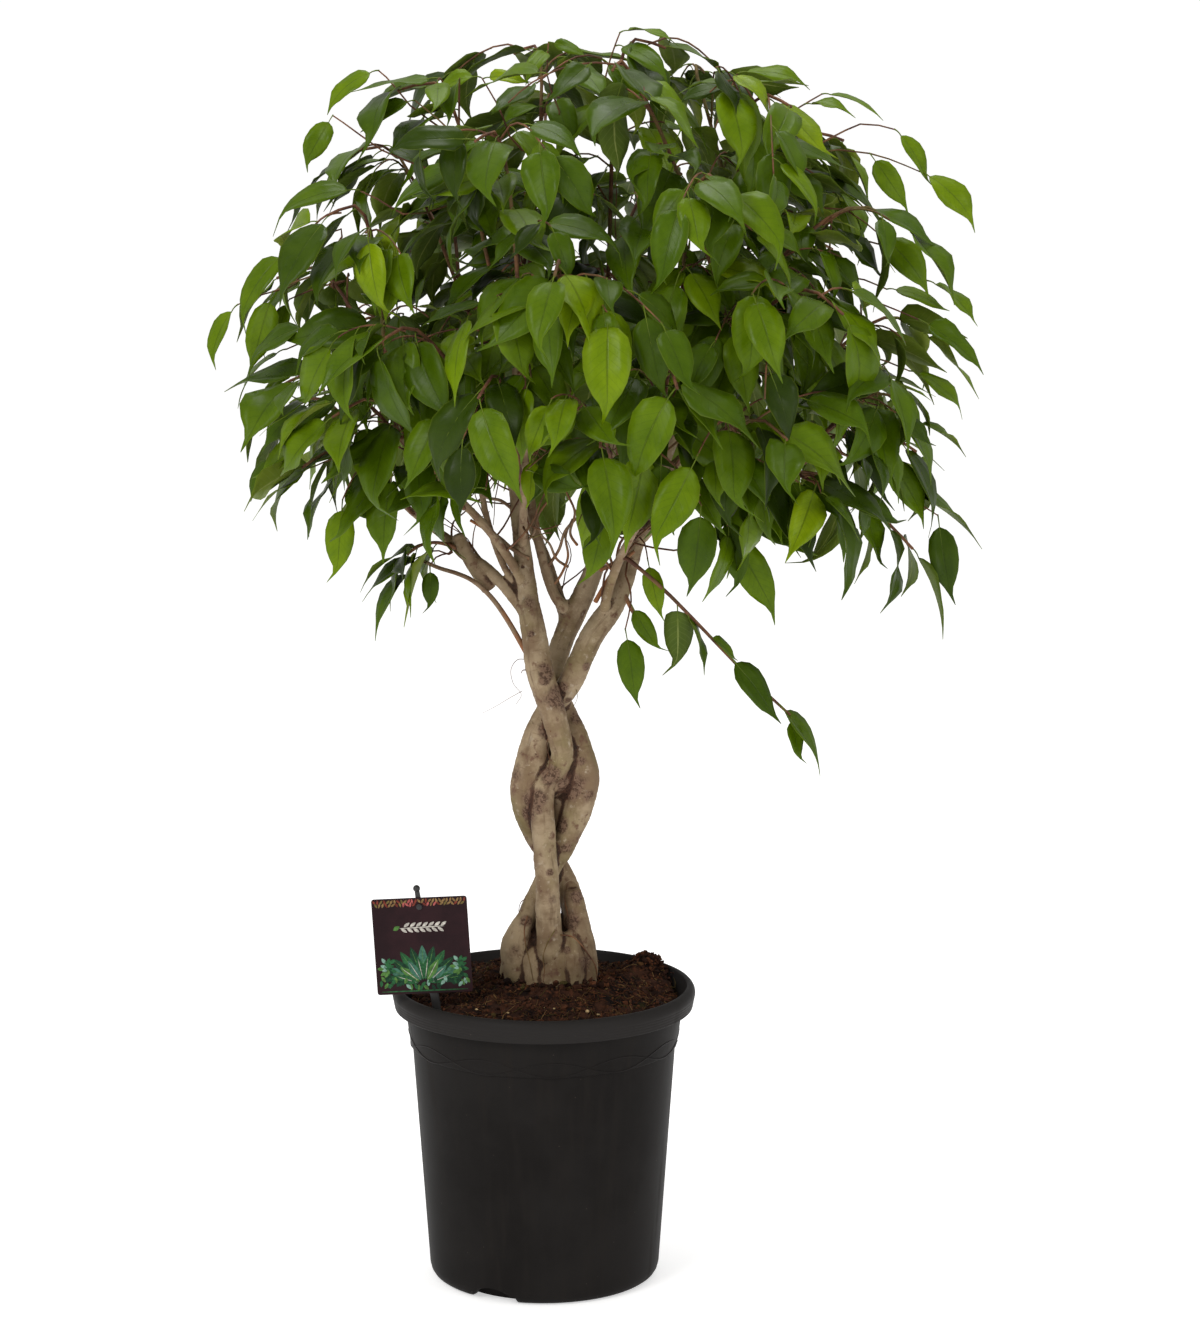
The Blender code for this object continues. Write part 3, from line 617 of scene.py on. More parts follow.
def socketsOf(limbs):
    found = []
    for index, (points, _) in enumerate(limbs):
        for share in growth["sockets"]:
            point, ahead = along(points, share)
            found.append((index, share == 1.0, point, ahead))
    return found


def stemPath(socket, end, arch, wood, rng, trial):
    index, atTip, point, ahead = socket
    start, leave = point + ahead * growth["clearance"], ahead
    if not atTip:
        towards = end - point
        hit, leave, _, _ = wood[index].ray_cast(point, (towards - ahead * towards.dot(ahead)).normalized())
        if leave.dot(towards) < 0:
            leave = -leave
        start = hit + leave * growth["clearance"]
    jitter = Vector([rng.uniform(-1, 1) for _ in range(3)]) * growth["stemStray"] * trial
    reach = (end - start).length
    outward = Vector((end.x - crown["centre"].x, end.y - crown["centre"].y, 0)).normalized()
    falling = (outward * 0.8 - up * 0.6) * reach * 0.35
    first = start + leave * max(0.012, reach * 0.12) + up * arch * 0.5 + (end - start) * 0.16 + jitter
    second = end - falling + up * arch * 0.4 + jitter
    points = interpolate_bezier(start, first, second, end, growth["stemRings"])
    points.insert(1, start + leave * growth["stemSquare"])
    return points


def overlaps(tree, trees):
    return any(tree.overlap(other) for other in trees)


def growStems(limbs, paths):
    # One stem to each end, from the nearest free socket from which it runs clear
    rng = random.Random(growth["seed"])
    wood = [treeOf(plainTube(points, radii, growth["trunkSides"])) for points, radii in paths.values()]
    wood += [treeOf(plainTube(points, radii, growth["limbSides"])) for points, radii in limbs[len(paths):]]
    free = socketsOf(limbs)
    stems, trees = [], []
    for end, arch, near, firstLeaf, size in sprayEnds():
        free.sort(key=lambda s: (s[2] - near).length)
        choices = [(t, s) for t in range(growth["stemTries"]) for s in free[:growth["stemChoices"]]]
        for trial, socket in choices:
            points = stemPath(socket, end, arch, wood, rng, trial)
            radii = taper(growth["stemRadius"], growth["stemTip"], len(points))
            slim = treeOf(plainTube(points, radii, growth["stemSides"]))
            wide = treeOf(plainTube(points[2:], [r + growth["stemClearance"] for r in radii[2:]], 4))
            if not (overlaps(slim, wood + trees) or overlaps(wide, wood + trees)):
                stems.append((points, radii, firstLeaf, size))
                trees.append(slim)
                free.remove(socket)
                break
    return stems, wood + trees


def leafPoints(leaf, grow=0.0):
    origin, ahead, normal, length, bend, wave = leaf
    side = normal.cross(ahead)

    def at(x, y):
        lift = growth["leafFold"] * abs(y) - bend * x**2
        if abs(y) > 0.05:
            lift += wave * (1 if (y > 0) == (x < growth["leafMiddle"]) else -1)
        return origin + length * (ahead * x + side * y + normal * lift)

    left = [at(x, y + grow / length) for x, y in growth["leafOutline"]]
    right = [at(x, -y - grow / length) for x, y in growth["leafOutline"]]
    return left, right, at(0, 0), at(growth["leafMiddle"], 0), at(1 + grow / length, 0)


def plainLeaf(leaf, grow=0.0, stalk=True):
    bm = bmesh.new()
    left, right, root, middle, tip = leafPoints(leaf, grow)
    left, right = [bm.verts.new(p) for p in left], [bm.verts.new(p) for p in right]
    middle, tip = bm.verts.new(middle), bm.verts.new(tip)
    if stalk:
        bm.faces.new((bm.verts.new(root), right[0], left[0]))
    bm.faces.new((left[0], right[0], middle))
    for a, b in ((0, 1), (1, 2)):
        bm.faces.new((left[a], middle, left[b]))
        bm.faces.new((right[a], right[b], middle))
    bm.faces.new((left[2], middle, tip))
    bm.faces.new((right[2], tip, middle))
    half = (growth["leafThickness"] / 2 + grow) * leaf[2]
    bmesh.ops.translate(bm, vec=half, verts=bm.verts)
    made = bmesh.ops.extrude_face_region(bm, geom=bm.faces[:], use_keep_orig=True)["geom"]
    bmesh.ops.translate(bm, vec=-2 * half, verts=vertsOf(made))
    return bm


def leafFrame(points, share, flip, rng, trial, size=1.0):
    # Stalk start, direction, face normal, length, bend and wave of one hanging leaf
    origin, ahead = along(points, share)
    outward = origin - (crown["centre"] - up * 0.10)
    outward.normalize()
    level = Vector((outward.x, outward.y, 0)).normalized()
    side = ahead.cross(up).normalized() * flip
    loose = 0.30 + 0.09 * trial
    stray = scatter(rng, loose)
    steep = 1.05 - 0.75 * max(0, outward.z)
    outSide = side * (0.0 if share == growth["lastLeaf"] else 0.55)
    hang = outSide + ahead * 0.35 + level * 0.45 - up * steep + stray
    hang.z = min(hang.z, 0.05)
    hang.normalize()
    normal = outward * 0.9 + up * 0.45 + scatter(rng, 0.28)
    normal = (normal - hang * normal.dot(hang)).normalized()
    length = size * rng.uniform(*growth["leafLength"])
    wave = growth["leafWave"]
    return origin, hang, normal, length, rng.uniform(0.05, 0.22), rng.uniform(-wave, wave)


def growLeaves(stems, obstacles):
    rng = random.Random(growth["seed"] + 1)
    trees = list(obstacles)
    stemTrees = obstacles[-len(stems):]
    sprays = []
    grow = growth["leafClearance"]
    for number, (points, _, firstLeaf, size) in enumerate(stems):
        others = [t for t in trees if t is not stemTrees[number]]
        leaves = []
        for k in range(growth["leavesPerSpray"]):
            share = firstLeaf + (growth["lastLeaf"] - firstLeaf) * k / (growth["leavesPerSpray"] - 1)
            for trial in range(growth["leafTries"]):
                leaf = leafFrame(points, share, 1 if (k + number) % 2 else -1, rng, trial, size)
                tip = leaf[0] + leaf[1] * leaf[3]
                if (tip - crown["centre"]).xy.length > crown["leafReach"]:
                    continue
                wide = treeOf(plainLeaf(leaf, grow))
                bare = treeOf(plainLeaf(leaf, grow, stalk=False))
                if overlaps(wide, others) or bare.overlap(stemTrees[number]):
                    continue
                leaves.append(leaf)
                tree = treeOf(plainLeaf(leaf))
                trees.append(tree)
                others.append(tree)
                break
        sprays.append(leaves)
    return sprays


# Pot: turned on a lathe profile, with grooves in the lip, a low wave ornament and dents in the bottom edge

pot = {
    "wall": 2.2 * mm,
    "floor": 2.6 * mm,
    "steps": 192,
    "foot": (0.1034, 0.0170),  # radius and height of the lower end of the wall
    "shoulder": (0.1166, 0.2030),  # and of its upper end
    "collarFoot": (0.1190, 0.2134),
    "collar": (0.1236, 0.2450),
    "lipFace": ((0.1330, 0.2474), (0.1350, 0.2575)),
    "grooves": 4,
    "grooveDepth": 0.22 * mm,
    "dents": (243.5, 3.5, 123.5),
    "dentRadius": 27 * mm,
    "dentDrop": 14 * mm,
    "dentStart": 0.086,
    "dentReach": 0.030,  # nothing above this height is pressed
    "waves": 6,
    "waveHeight": 0.2190,
    "waveRise": 6.5 * mm,
    "waveStart": -100.5,  # bearing of a crossing
    "waveFoot": (0.1189, 0.2113),  # the waves ride on a cone from here up to the collar's top
    "wavePoints": 288,
    "waveRadius": 1.3 * mm,
    "waveProud": 0.36 * mm,
}


def potMaterial():
    material, tree, shader = newMaterial("potPlastic", 0.50, 0.032)
    place = objectCoordinates(tree)
    drawn = objectCoordinates(tree, (1, 1, 0.06))
    ground = blotches(tree, place, colour(27, 25, 24), ((9.0, 0.35, 0.65, (33, 31, 30)),))
    streaks = blotches(tree, drawn, ground["Colour"], ((90.0, 0.45, 0.80, (35, 32, 30)),))
    height = putNode(tree, "SeparateXYZ", {"Vector": place}).outputs["Z"]
    # The lip is lighter than the wall, from a little below its face upwards
    lip = remap(tree, height, pot["lipFace"][0][1] - 4 * mm, pot["lipFace"][0][1])
    lighterLip = blendColours(tree, lip, streaks["Colour"], colour(42, 40, 39))
    dusty = dustOver(tree, place, lighterLip, 210.0, 0.16, 0.05, 0.45, (92, 84, 76))
    tree.links.new(dusty, shader.inputs["Base Color"])
    tree.links.new(remap(tree, streaks["Factor"], 0.0, 1.0, 0.46, 0.58), shader.inputs["Roughness"])
    addGrain(tree, shader, place, 45.0, 900.0, 0.35, 0.18, 0.4)
    return material


def straight(start, end, count):
    # Evenly spaced points on a straight wall, after its start
    shares = [i / count for i in range(1, count + 1)]
    return [tuple(a + (b - a) * share for a, b in zip(start, end)) for share in shares]


def potProfile():
    # From the middle of the underside up the wall, over the lip and down inside
    wall, foot, shoulder, collar = pot["wall"], pot["foot"], pot["shoulder"], pot["collar"]
    line = [(radius, 0) for radius in (0, 0.030, 0.060, 0.0855, 0.0862, 0.0900, 0.0940)]
    line += [(0.0972, 0.0011), (0.0998, 0.0030), (0.1018, 0.0062), (0.1030, 0.0110), foot]
    line += straight(foot, shoulder, 10)
    line += [(0.1169, 0.2080), (0.1172, 0.2117), (0.1180, 0.2120), (0.1187, 0.2124), pot["collarFoot"]]
    line += straight(pot["collarFoot"], collar, 5)
    line += [(0.1258, 0.2560), (0.1285, 0.2608), (0.1306, 0.2606), (0.1314, 0.2580), (0.1310, 0.2474)]
    line += [(0.1312, 0.2463), (0.1320, 0.2460), (0.1327, 0.2465)]
    low, high = pot["lipFace"]
    for i, (radius, height) in enumerate([low] + straight(low, high, pot["grooves"] * 5)):
        groove = pot["grooveDepth"] * 0.5 * (1 - math.cos(2 * math.pi * i / 5))
        line.append((radius - groove, height))
    line += [(0.1350, 0.2590), (0.1346, 0.2612), (0.1336, 0.2632), (0.1320, 0.2650), (0.1304, 0.2658)]
    line += [(0.1290, 0.2660), (0.1279, 0.2657), (0.1272, 0.2648), (0.1267, 0.2630), (0.1256, 0.2590)]
    inside = [collar, (0.1188, 0.2085), shoulder] + straight(shoulder, foot, 8)
    inside += [(0.1030, 0.0140), (0.1016, 0.0090), (0.0990, 0.0052), (0.0955, 0.0031)]
    line += [(radius - wall, height) for radius, height in inside]
    return line + [(radius, pot["floor"]) for radius in (0.0900, 0.0830, 0.060, 0.030, 0)]


def radiusAt(height, low, high):
    # Where a straight wall between two points of the profile passes this height
    return low[0] + (height - low[1]) * (high[0] - low[0]) / (high[1] - low[1])


def pressDents(bm):
    wall, start = pot["wall"], pot["dentStart"]
    for vert in bm.verts:
        radius = math.hypot(vert.co.x, vert.co.y)
        if vert.co.z > pot["dentReach"] or radius < start - wall:
            continue
        outside = radiusAt(vert.co.z, pot["foot"], pot["shoulder"])
        inner = vert.co.z >= pot["floor"] * 0.9 and radius < outside - wall * 0.6
        grow = wall if inner else 0
        if radius < start - grow:
            continue
        for turn in pot["dents"]:
            line = bearing(turn)
            across = abs(line.cross(vert.co).z)
            if vert.co.dot(line) > 0 and across < pot["dentRadius"] + grow:
                top = math.sqrt((pot["dentRadius"] + grow) ** 2 - across**2) - pot["dentDrop"]
                vert.co.z = max(vert.co.z, top)


def waveLine(sign):
    # One sine line round the collar, a flat bead that stands a little proud
    line = []
    for i in range(pot["wavePoints"]):
        turn = 360 * i / pot["wavePoints"]
        swing = math.sin(math.radians((turn - pot["waveStart"]) * pot["waves"]))
        height = pot["waveHeight"] + sign * pot["waveRise"] * swing
        radius = radiusAt(height, pot["waveFoot"], pot["collar"]) + pot["waveProud"] - pot["waveRadius"]
        line.append((*(bearing(turn) * radius).xy, height, pot["waveRadius"]))
    return line


def turned(profile, steps):
    bm = bmesh.new()
    corners = [bm.verts.new((radius, 0, height)) for radius, height in profile]
    edges = [bm.edges.new(pair) for pair in zip(corners, corners[1:])]
    bmesh.ops.spin(bm, geom=corners + edges, cent=(0, 0, 0), axis=up,
                   angle=2 * math.pi, steps=steps, use_merge=True)
    bmesh.ops.remove_doubles(bm, verts=bm.verts, dist=0.01 * mm)
    bmesh.ops.recalc_face_normals(bm, faces=bm.faces)
    return bm


def makePot():
    bm = turned(potProfile(), pot["steps"])
    pressDents(bm)
    for sign in (1, -1):
        addMesh(bm, tubeMesh([waveLine(sign)], 1, closed=True))
    addPiece("pot_body", bm, [potMaterial()], "pot", ["pot"], sharp=50)


# Soil: a crumbly mound with loose crumbs, fibres, shreds and grains on it

soil = {
    "edgeHeight": 0.2555,
    "middleHeight": 0.2640,
    "bump": 2.0 * mm,
    "heap": (0.089, 0.058, 0.019),  # x, y and radius, as in the three below
    "heapHeight": 0.011,
    "heapTop": (0.095, 0.047, 0.029),
    "heapRise": 8 * mm,
    "foot": (0.004, -0.004, 0.060),
    "bank": 10.5 * mm,
    "lumps": (131, 117),
    "backRise": 1.8 * mm,
    "backReach": (0.08, 0.10),
    "rough": (95, 2.9 * mm),  # scale and height, as in the two below
    "grit": (420, 1.1 * mm),
    "clods": (150, 3.4 * mm),
    "side": ((0, 0.0125), (0.080, 0.0125), (0.0985, 0.0140), (0.1140, 0.2040), (0.1208, 0.2470)),
    "rimRadius": 0.1155,
    "rings": 46,
    "steps": 170,
    "crumbs": 2300,
    "crumbSize": (0.8, 4.4),  # mm
    "heapCrumbs": 260,
    "heapSpots": (0.097, 0.050, 0.011),  # x, y and reach
    "footCrumbs": 340,
    "footSpots": (0.003, -0.003, 0.042, 0.036),  # x, y and reach both ways
    "footGrowth": 1.35,
    "shreds": 420,
    "fibres": 900,
    "fibreTones": 8,
    "fibreLength": (5, 24),
    "fibreRadius": (0.16, 0.46),
    "looseReach": 0.1195,
    "seed": 5,
}
# Pale grains: place in mm and half-length in mm
grains = (
    (39, -84, 2.9), (49, -86, 3.1), (1, -71, 1.6), (10, -77, 1.5), (-58, -71, 1.7), (72, -45, 1.4),
    (-30, -88, 1.3),
)


def hump(x, y, spot):
    # 1 in the middle of a soft round hump and 0 far from it
    return math.exp(-((x - spot[0]) ** 2 + (y - spot[1]) ** 2) / spot[2] ** 2)


def soilHeight(x, y):
    # A low mound of lumpy peat with a heap, banked up round the root base and against the back of the wall
    edge = (x**2 + y**2) / soil["rimRadius"] ** 2
    mound = soil["middleHeight"] + (soil["edgeHeight"] - soil["middleHeight"]) * edge
    mound += soil["heapHeight"] * hump(x, y, soil["heap"]) + soil["heapRise"] * hump(x, y, soil["heapTop"])
    mound += soil["bank"] * hump(x, y, soil["foot"])
    waves = math.sin(soil["lumps"][0] * x + 1.3) * math.cos(soil["lumps"][1] * y - 0.7) * min(1, edge * 4)
    spot = Vector((x, y, 0))
    (rough, roughRise), (grit, gritRise), (clods, clodRise) = soil["rough"], soil["grit"], soil["clods"]
    bumps = noise.fractal(spot * rough, 0.7, 2.1, 5) * roughRise + noise.noise(spot * grit) * gritRise
    bumps += max(0.0, noise.noise(spot * clods + Vector((3, 7, 0)))) * clodRise
    deep, wide = soil["backReach"]
    back = soil["backRise"] * max(0.0, min(1.0, y / deep)) * min(1.0, (x * x + y * y) / wide**2)
    return mound + soil["bump"] * waves + bumps + back


def looseMaterial():
    # Crumbs and fibres, each with its own tone
    material, tree, shader = newMaterial("looseBits", 0.9, 0.15)
    tones = toneRamp(tree, (
        (0.0, (22, 13, 10)), (0.30, (54, 31, 21)), (0.55, (104, 63, 40)), (0.74, (74, 66, 34)),
        (0.86, (150, 114, 76)), (1.0, (222, 196, 148)),
    ))
    place = objectCoordinates(tree)
    mixed, _ = shadeBy(tree, place, tones, 380.0, 0.3, 0.75, (0.55, 0.52, 0.5), (1, 1, 1))
    tree.links.new(mixed, shader.inputs["Base Color"])
    addGrain(tree, shader, place, 500.0, 1800.0, 0.4, 0.6, 0.5)
    return material


def makeSoil():
    rings = soil["rings"]
    top = [(soil["rimRadius"] * (1 - i / rings), soil["edgeHeight"]) for i in range(rings + 1)]
    bm = turned([*soil["side"], *top], soil["steps"])
    for vert in bm.verts:
        if vert.co.z > 0.25:
            vert.co.z = soilHeight(vert.co.x, vert.co.y)
    addPiece("soil_fill", bm, [plainFinish("peat")], "soil", ["soil"], sharp=180)


def onSoil(x, y, lift=0.0):
    return Vector((x, y, soilHeight(x, y) + lift))


def spotOnSoil(rng, within=0.117):
    radius = within * math.sqrt(rng.random())
    return onSoil(*(bearing(rng.uniform(0, 360)) * radius).xy)


def spotOnHeap(rng):
    x, y, reach = soil["heapSpots"]
    offset = bearing(rng.uniform(0, 360)) * abs(rng.gauss(0, reach))
    return onSoil(x + offset.x, y + offset.y, rng.uniform(0, 3.2 * mm))


def spotAtFoot(rng):
    # Round the root base, where peat lies piled against the wood
    x, y, wide, deep = soil["footSpots"]
    offset = bearing(rng.uniform(0, 360)) * rng.gauss(1.03, 0.10)
    return onSoil(x + wide * offset.x, y + deep * offset.y, rng.uniform(-1, 2.2) * mm)


def strew(made, tone, shade, stray, rng):
    # Gives a crumb its tone and knocks its corners about
    for vert in made:
        vert[tone] = shade
        vert.co += Vector([rng.uniform(-stray, stray) for _ in range(3)])


def addCrumb(bm, tone, number, rng):
    size = rng.uniform(*soil["crumbSize"]) * (0.30 + 0.70 * rng.random() ** 2) * mm
    if number < soil["heapCrumbs"]:
        spot = spotOnHeap(rng)
    elif number < soil["heapCrumbs"] + soil["footCrumbs"]:
        size *= soil["footGrowth"]
        spot = spotAtFoot(rng)
    else:
        spot = spotOnSoil(rng)
    spin = Matrix.Rotation(rng.uniform(0, 6.28), 4, Vector((rng.random(), rng.random(), rng.random())))
    shape = Matrix.Diagonal((size, size * rng.uniform(0.5, 0.9), size * rng.uniform(0.4, 0.8), 1))
    place = Matrix.Translation(spot + up * size * 0.2) @ spin @ shape
    made = bmesh.ops.create_icosphere(bm, subdivisions=1, radius=1, matrix=place)["verts"]
    strew(made, tone, min(0.84, max(0.0, rng.gauss(0.34, 0.17))), 0.22 * size, rng)


def addShred(bm, tone, rng):
    spot = spotOnSoil(rng)
    long, wide, thick = rng.uniform(2, 6) * mm, rng.uniform(0.7, 1.8) * mm, rng.uniform(0.2, 0.5) * mm
    place = Matrix.Translation(spot + up * 0.6 * mm) @ Matrix.Rotation(rng.uniform(0, 6.28), 4, "Z")
    for axis, spread in (("Y", 0.45), ("X", 0.5)):
        place = place @ Matrix.Rotation(rng.gauss(0, spread), 4, axis)
    place = place @ Matrix.Diagonal((long, wide, thick, 1))
    made = bmesh.ops.create_cube(bm, size=1, matrix=place)["verts"]
    strew(made, tone, rng.choice((0.25, 0.45, 0.6, 0.80)), 0.25 * wide, rng)


def addPaleGrain(bm, tone, x, y, half, rng):
    half *= mm
    spot = onSoil(x * mm, y * mm, half * 0.35)
    shape = Matrix.Diagonal((half, half * 0.62, half * 0.5, 1))
    place = Matrix.Translation(spot) @ Matrix.Rotation(rng.uniform(0, 3), 4, "Z") @ shape
    for vert in bmesh.ops.create_icosphere(bm, subdivisions=2, radius=1, matrix=place)["verts"]:
        vert[tone] = 0.95


def fibreLine(rng):
    # A bent fibre lying on the soil, its ends a little lifted
    spot = spotOnSoil(rng, 0.112)
    turn = rng.uniform(0, 360)
    length = rng.uniform(*soil["fibreLength"]) * mm
    radius = rng.uniform(*soil["fibreRadius"]) * mm
    bend = math.degrees(rng.gauss(0, 0.8))
    line = []
    for k in range(5):
        share = k / 4
        turn += bend / 4
        spot = spot + bearing(turn) * length / 4
        if spot.xy.length > soil["looseReach"]:
            spot.xy = spot.xy.normalized() * soil["looseReach"]
        lift = (share - 0.5) ** 2 * rng.uniform(0, 9) * mm
        line.append((*onSoil(spot.x, spot.y, 0.5 * mm + lift), radius * (1.15 - 0.6 * share)))
    return line


def makeLooseBits():
    rng = random.Random(soil["seed"])
    loose = [looseMaterial()]
    bm = bmesh.new()
    tone = bm.verts.layers.float.new("tone")
    for number in range(soil["crumbs"]):
        addCrumb(bm, tone, number, rng)
    for _ in range(soil["shreds"]):
        addShred(bm, tone, rng)
    for x, y, half in grains:
        addPaleGrain(bm, tone, x, y, half, rng)
    addPiece("soil_crumbs", bm, loose, "soil", sharp=30)
    bm = bmesh.new()
    tone = bm.verts.layers.float.new("tone")
    for batch in range(soil["fibreTones"]):
        lines = [fibreLine(rng) for _ in range(soil["fibres"] // soil["fibreTones"])]
        for face in addMesh(bm, tubeMesh(lines, 0)):
            for vert in face.verts:
                vert[tone] = 0.18 + 0.09 * batch
    addPiece("soil_fibres", bm, loose, "soil")


# Label: a thin printed card with a plain leaf print, on a stake

label = {
    "height": 0.086,
    "thickness": 0.8 * mm,
    "centre": Vector((-0.1055, -0.0640, 0.3165)),
    "roll": math.radians(-3.5),
    "yaw": math.radians(-4),
    "inkThickness": 0.07 * mm,
    "seed": 11,
}
inks = {
    "tan": (146, 116, 74), "ochre": (120, 104, 58), "coral": (186, 96, 92), "rust": (128, 58, 44),
    "cream": (206, 200, 190), "deepGreen": (28, 66, 44), "midGreen": (44, 98, 58),
    "freshGreen": (86, 130, 64),
    "greyGreen": (70, 118, 98), "pearl": (138, 178, 160),
}
stake = {
    "width": 7.5 * mm,
    "thickness": 2.6 * mm,
    "lean": math.radians(-9),
    "buried": 0.045,
    "knob": 3.1 * mm,
    "pegRadius": 1.6 * mm,
    "pegHeight": 0.035,  # above the card's centre
    "pegHead": (2.6 * mm, 1.2 * mm),
    "taper": 0.55,
    "point": 0.020,
}
upright = Matrix.Rotation(math.radians(90), 4, "X")
labelPlace = (
    Matrix.Translation(label["centre"])
    @ Matrix.Rotation(label["yaw"], 4, "Z")
    @ Matrix.Rotation(label["roll"], 4, "Y")
)
stakePlace = (
    labelPlace
    @ Matrix.Translation((0, 0, stake["pegHeight"]))
    @ Matrix.Rotation(stake["lean"] - label["roll"], 4, "Y")
    @ Matrix.Translation((0, 0, -stake["pegHeight"]))
)


def inkMaterial():
    material, tree, shader = newMaterial("ink", 0.38, 0.12)
    tint = readAttribute(tree, "ink", "Color")
    shaded, _ = shadeBy(tree, objectCoordinates(tree), tint, 420.0, 0.3, 0.7, (0.45, 0.45, 0.45), (1, 1, 1))
    tree.links.new(shaded, shader.inputs["Base Color"])
    return material


def addInk(bm, layer, x, z, half, width, turn, tint, level, pointed=True):
    # A printed leaf or bar, a thin closed shape on the card's face. Lengths in mm.
    made = bmesh.ops.create_circle(bm, cap_ends=True, cap_tris=False, segments=18, radius=1)["verts"]
    for vert in made:
        share = vert.co.x
        narrow = (1 - abs(share) ** 1.6) ** 0.5 if pointed else 1
        across = math.copysign(abs(vert.co.y) ** 0.8, vert.co.y)
        vert.co = Vector((share * half, across * narrow * width, 0)) * mm
    face = made[0].link_faces[0]
    lifted = vertsOf(bmesh.ops.extrude_face_region(bm, geom=[face], use_keep_orig=True)["geom"])
    bmesh.ops.translate(bm, vec=(0, 0, label["inkThickness"] * (1 + level)), verts=lifted)
    place = Matrix.Translation((x * mm, -label["thickness"] / 2, z * mm)) @ upright
    bmesh.ops.transform(bm, matrix=labelPlace @ place @ Matrix.Rotation(turn, 4, "Z"), verts=made + lifted)
    for vert in made + lifted:
        vert[layer] = colour(*inks[tint])


def labelMarks(rng):
    # Place, half-length, half-width, turn, ink and level of each printed leaf or bar
    for row, height in enumerate((40.0, 37.2)):
        for k in range(27):
            x = -39.6 + k * 3.05 + row * 1.4
            if abs(x) > 40.2 or (abs(x) < 3.6 and row):
                continue
            tint = rng.choice(("tan", "ochre", "tan", "rust") if abs(x) > 15 else ("coral", "rust", "tan"))
            yield x, height, 2.3, 0.95, rng.uniform(0.6, 2.5), tint, (k % 3) * 0.3 + row
    # A pale sprig in the upper half
    yield 1, 16.5, 20, 0.5, 0.02, "cream", 0, False
    for k in range(14):
        side = 1 if k % 2 else -1
        yield -14.9 + k * 2.7, 16.6 + side * 2.5, 3.2, 1.35, side * 0.62, "cream", 0.6 + 0.2 * side
    yield -21.5, 16.3, 3.4, 1.9, 0.5, "freshGreen", 0.4
    # Two fans of leaves, a rosette on either side, and a low row of small leaves
    for k in range(11):
        turn = math.radians(9 + 16.2 * k)
        x, z = math.cos(turn) * 24.0, -33 + math.sin(turn) * 21.0
        tint = ("deepGreen", "greyGreen", "deepGreen", "midGreen")[k % 4]
        yield x, z, 12.5, 3.9, turn, tint, 0.6 + (k % 3) * 0.3
        yield x, z, 11.0, 0.25, turn, "freshGreen", 1.6
    for k in range(8):
        turn = math.radians(20 + 20 * k)
        x, z = math.cos(turn) * 16.0, -35 + math.sin(turn) * 15.0
        tint = ("midGreen", "greyGreen", "freshGreen", "midGreen")[k % 4]
        yield x, z, 10.5, 3.7, turn, tint, 2.2 + (k % 3) * 0.4
        yield x, z, 9.0, 0.3, turn, "cream", 3.6
    for middle in (-31.5, 32.0):
        for k in range(19):
            turn, away = k * 2.4, 1.5 + 0.42 * k
            x = middle + math.cos(turn) * away * 0.72
            tint = ("deepGreen", "midGreen", "freshGreen", "midGreen", "pearl")[k % 5]
            if abs(x) <= 38.2:
                yield x, -20 + math.sin(turn) * away * 1.25, 2.9, 1.6, turn, tint, 4 + (k % 4) * 0.3
    for k in range(36):
        x = -38 + k * 2.18
        height = -36.5 + rng.uniform(-2.0, 5.0) + abs(x) * 0.08
        tint = rng.choice(("deepGreen", "midGreen", "deepGreen", "freshGreen", "midGreen", "pearl"))
        yield x, height, 3.0, 1.5, rng.uniform(0.7, 2.4), tint, 5.4 + (k % 3) * 0.4
    yield 0, -40.4, 38.5, 0.6, 0, "midGreen", 0, False


def makeLabel():
    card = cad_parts["label_card"]
    card.data.materials.clear()
    card.data.materials.append(plainFinish("card"))
    bm = bmesh.new()
    layer = bm.verts.layers.float_color.new("ink")
    for mark in labelMarks(random.Random(label["seed"])):
        addInk(bm, layer, *mark)
    bmesh.ops.recalc_face_normals(bm, faces=bm.faces)
    addPiece("label_print", bm, [inkMaterial()], "label", smooth=False)


def pullOut(bm, faces, place):
    # Draws faces out to new places
    for vert in vertsOf(bmesh.ops.extrude_face_region(bm, geom=faces)["geom"]):
        vert.co = Vector(place(vert.co))
    bmesh.ops.delete(bm, geom=faces, context="FACES_ONLY")


def roundEdges(bm, edges, width):
    bmesh.ops.bevel(bm, geom=edges, offset=width, segments=2, profile=0.5, affect="EDGES", material=-1)


def addPeg(bm, segments, radius, middle, depth):
    # A round peg through the card, from front to back
    place = labelPlace @ Matrix.Translation((0, middle, stake["pegHeight"])) @ upright
    return bmesh.ops.create_cone(bm, cap_ends=True, segments=segments, radius1=radius, radius2=radius,
                                 depth=depth, matrix=place)["verts"]


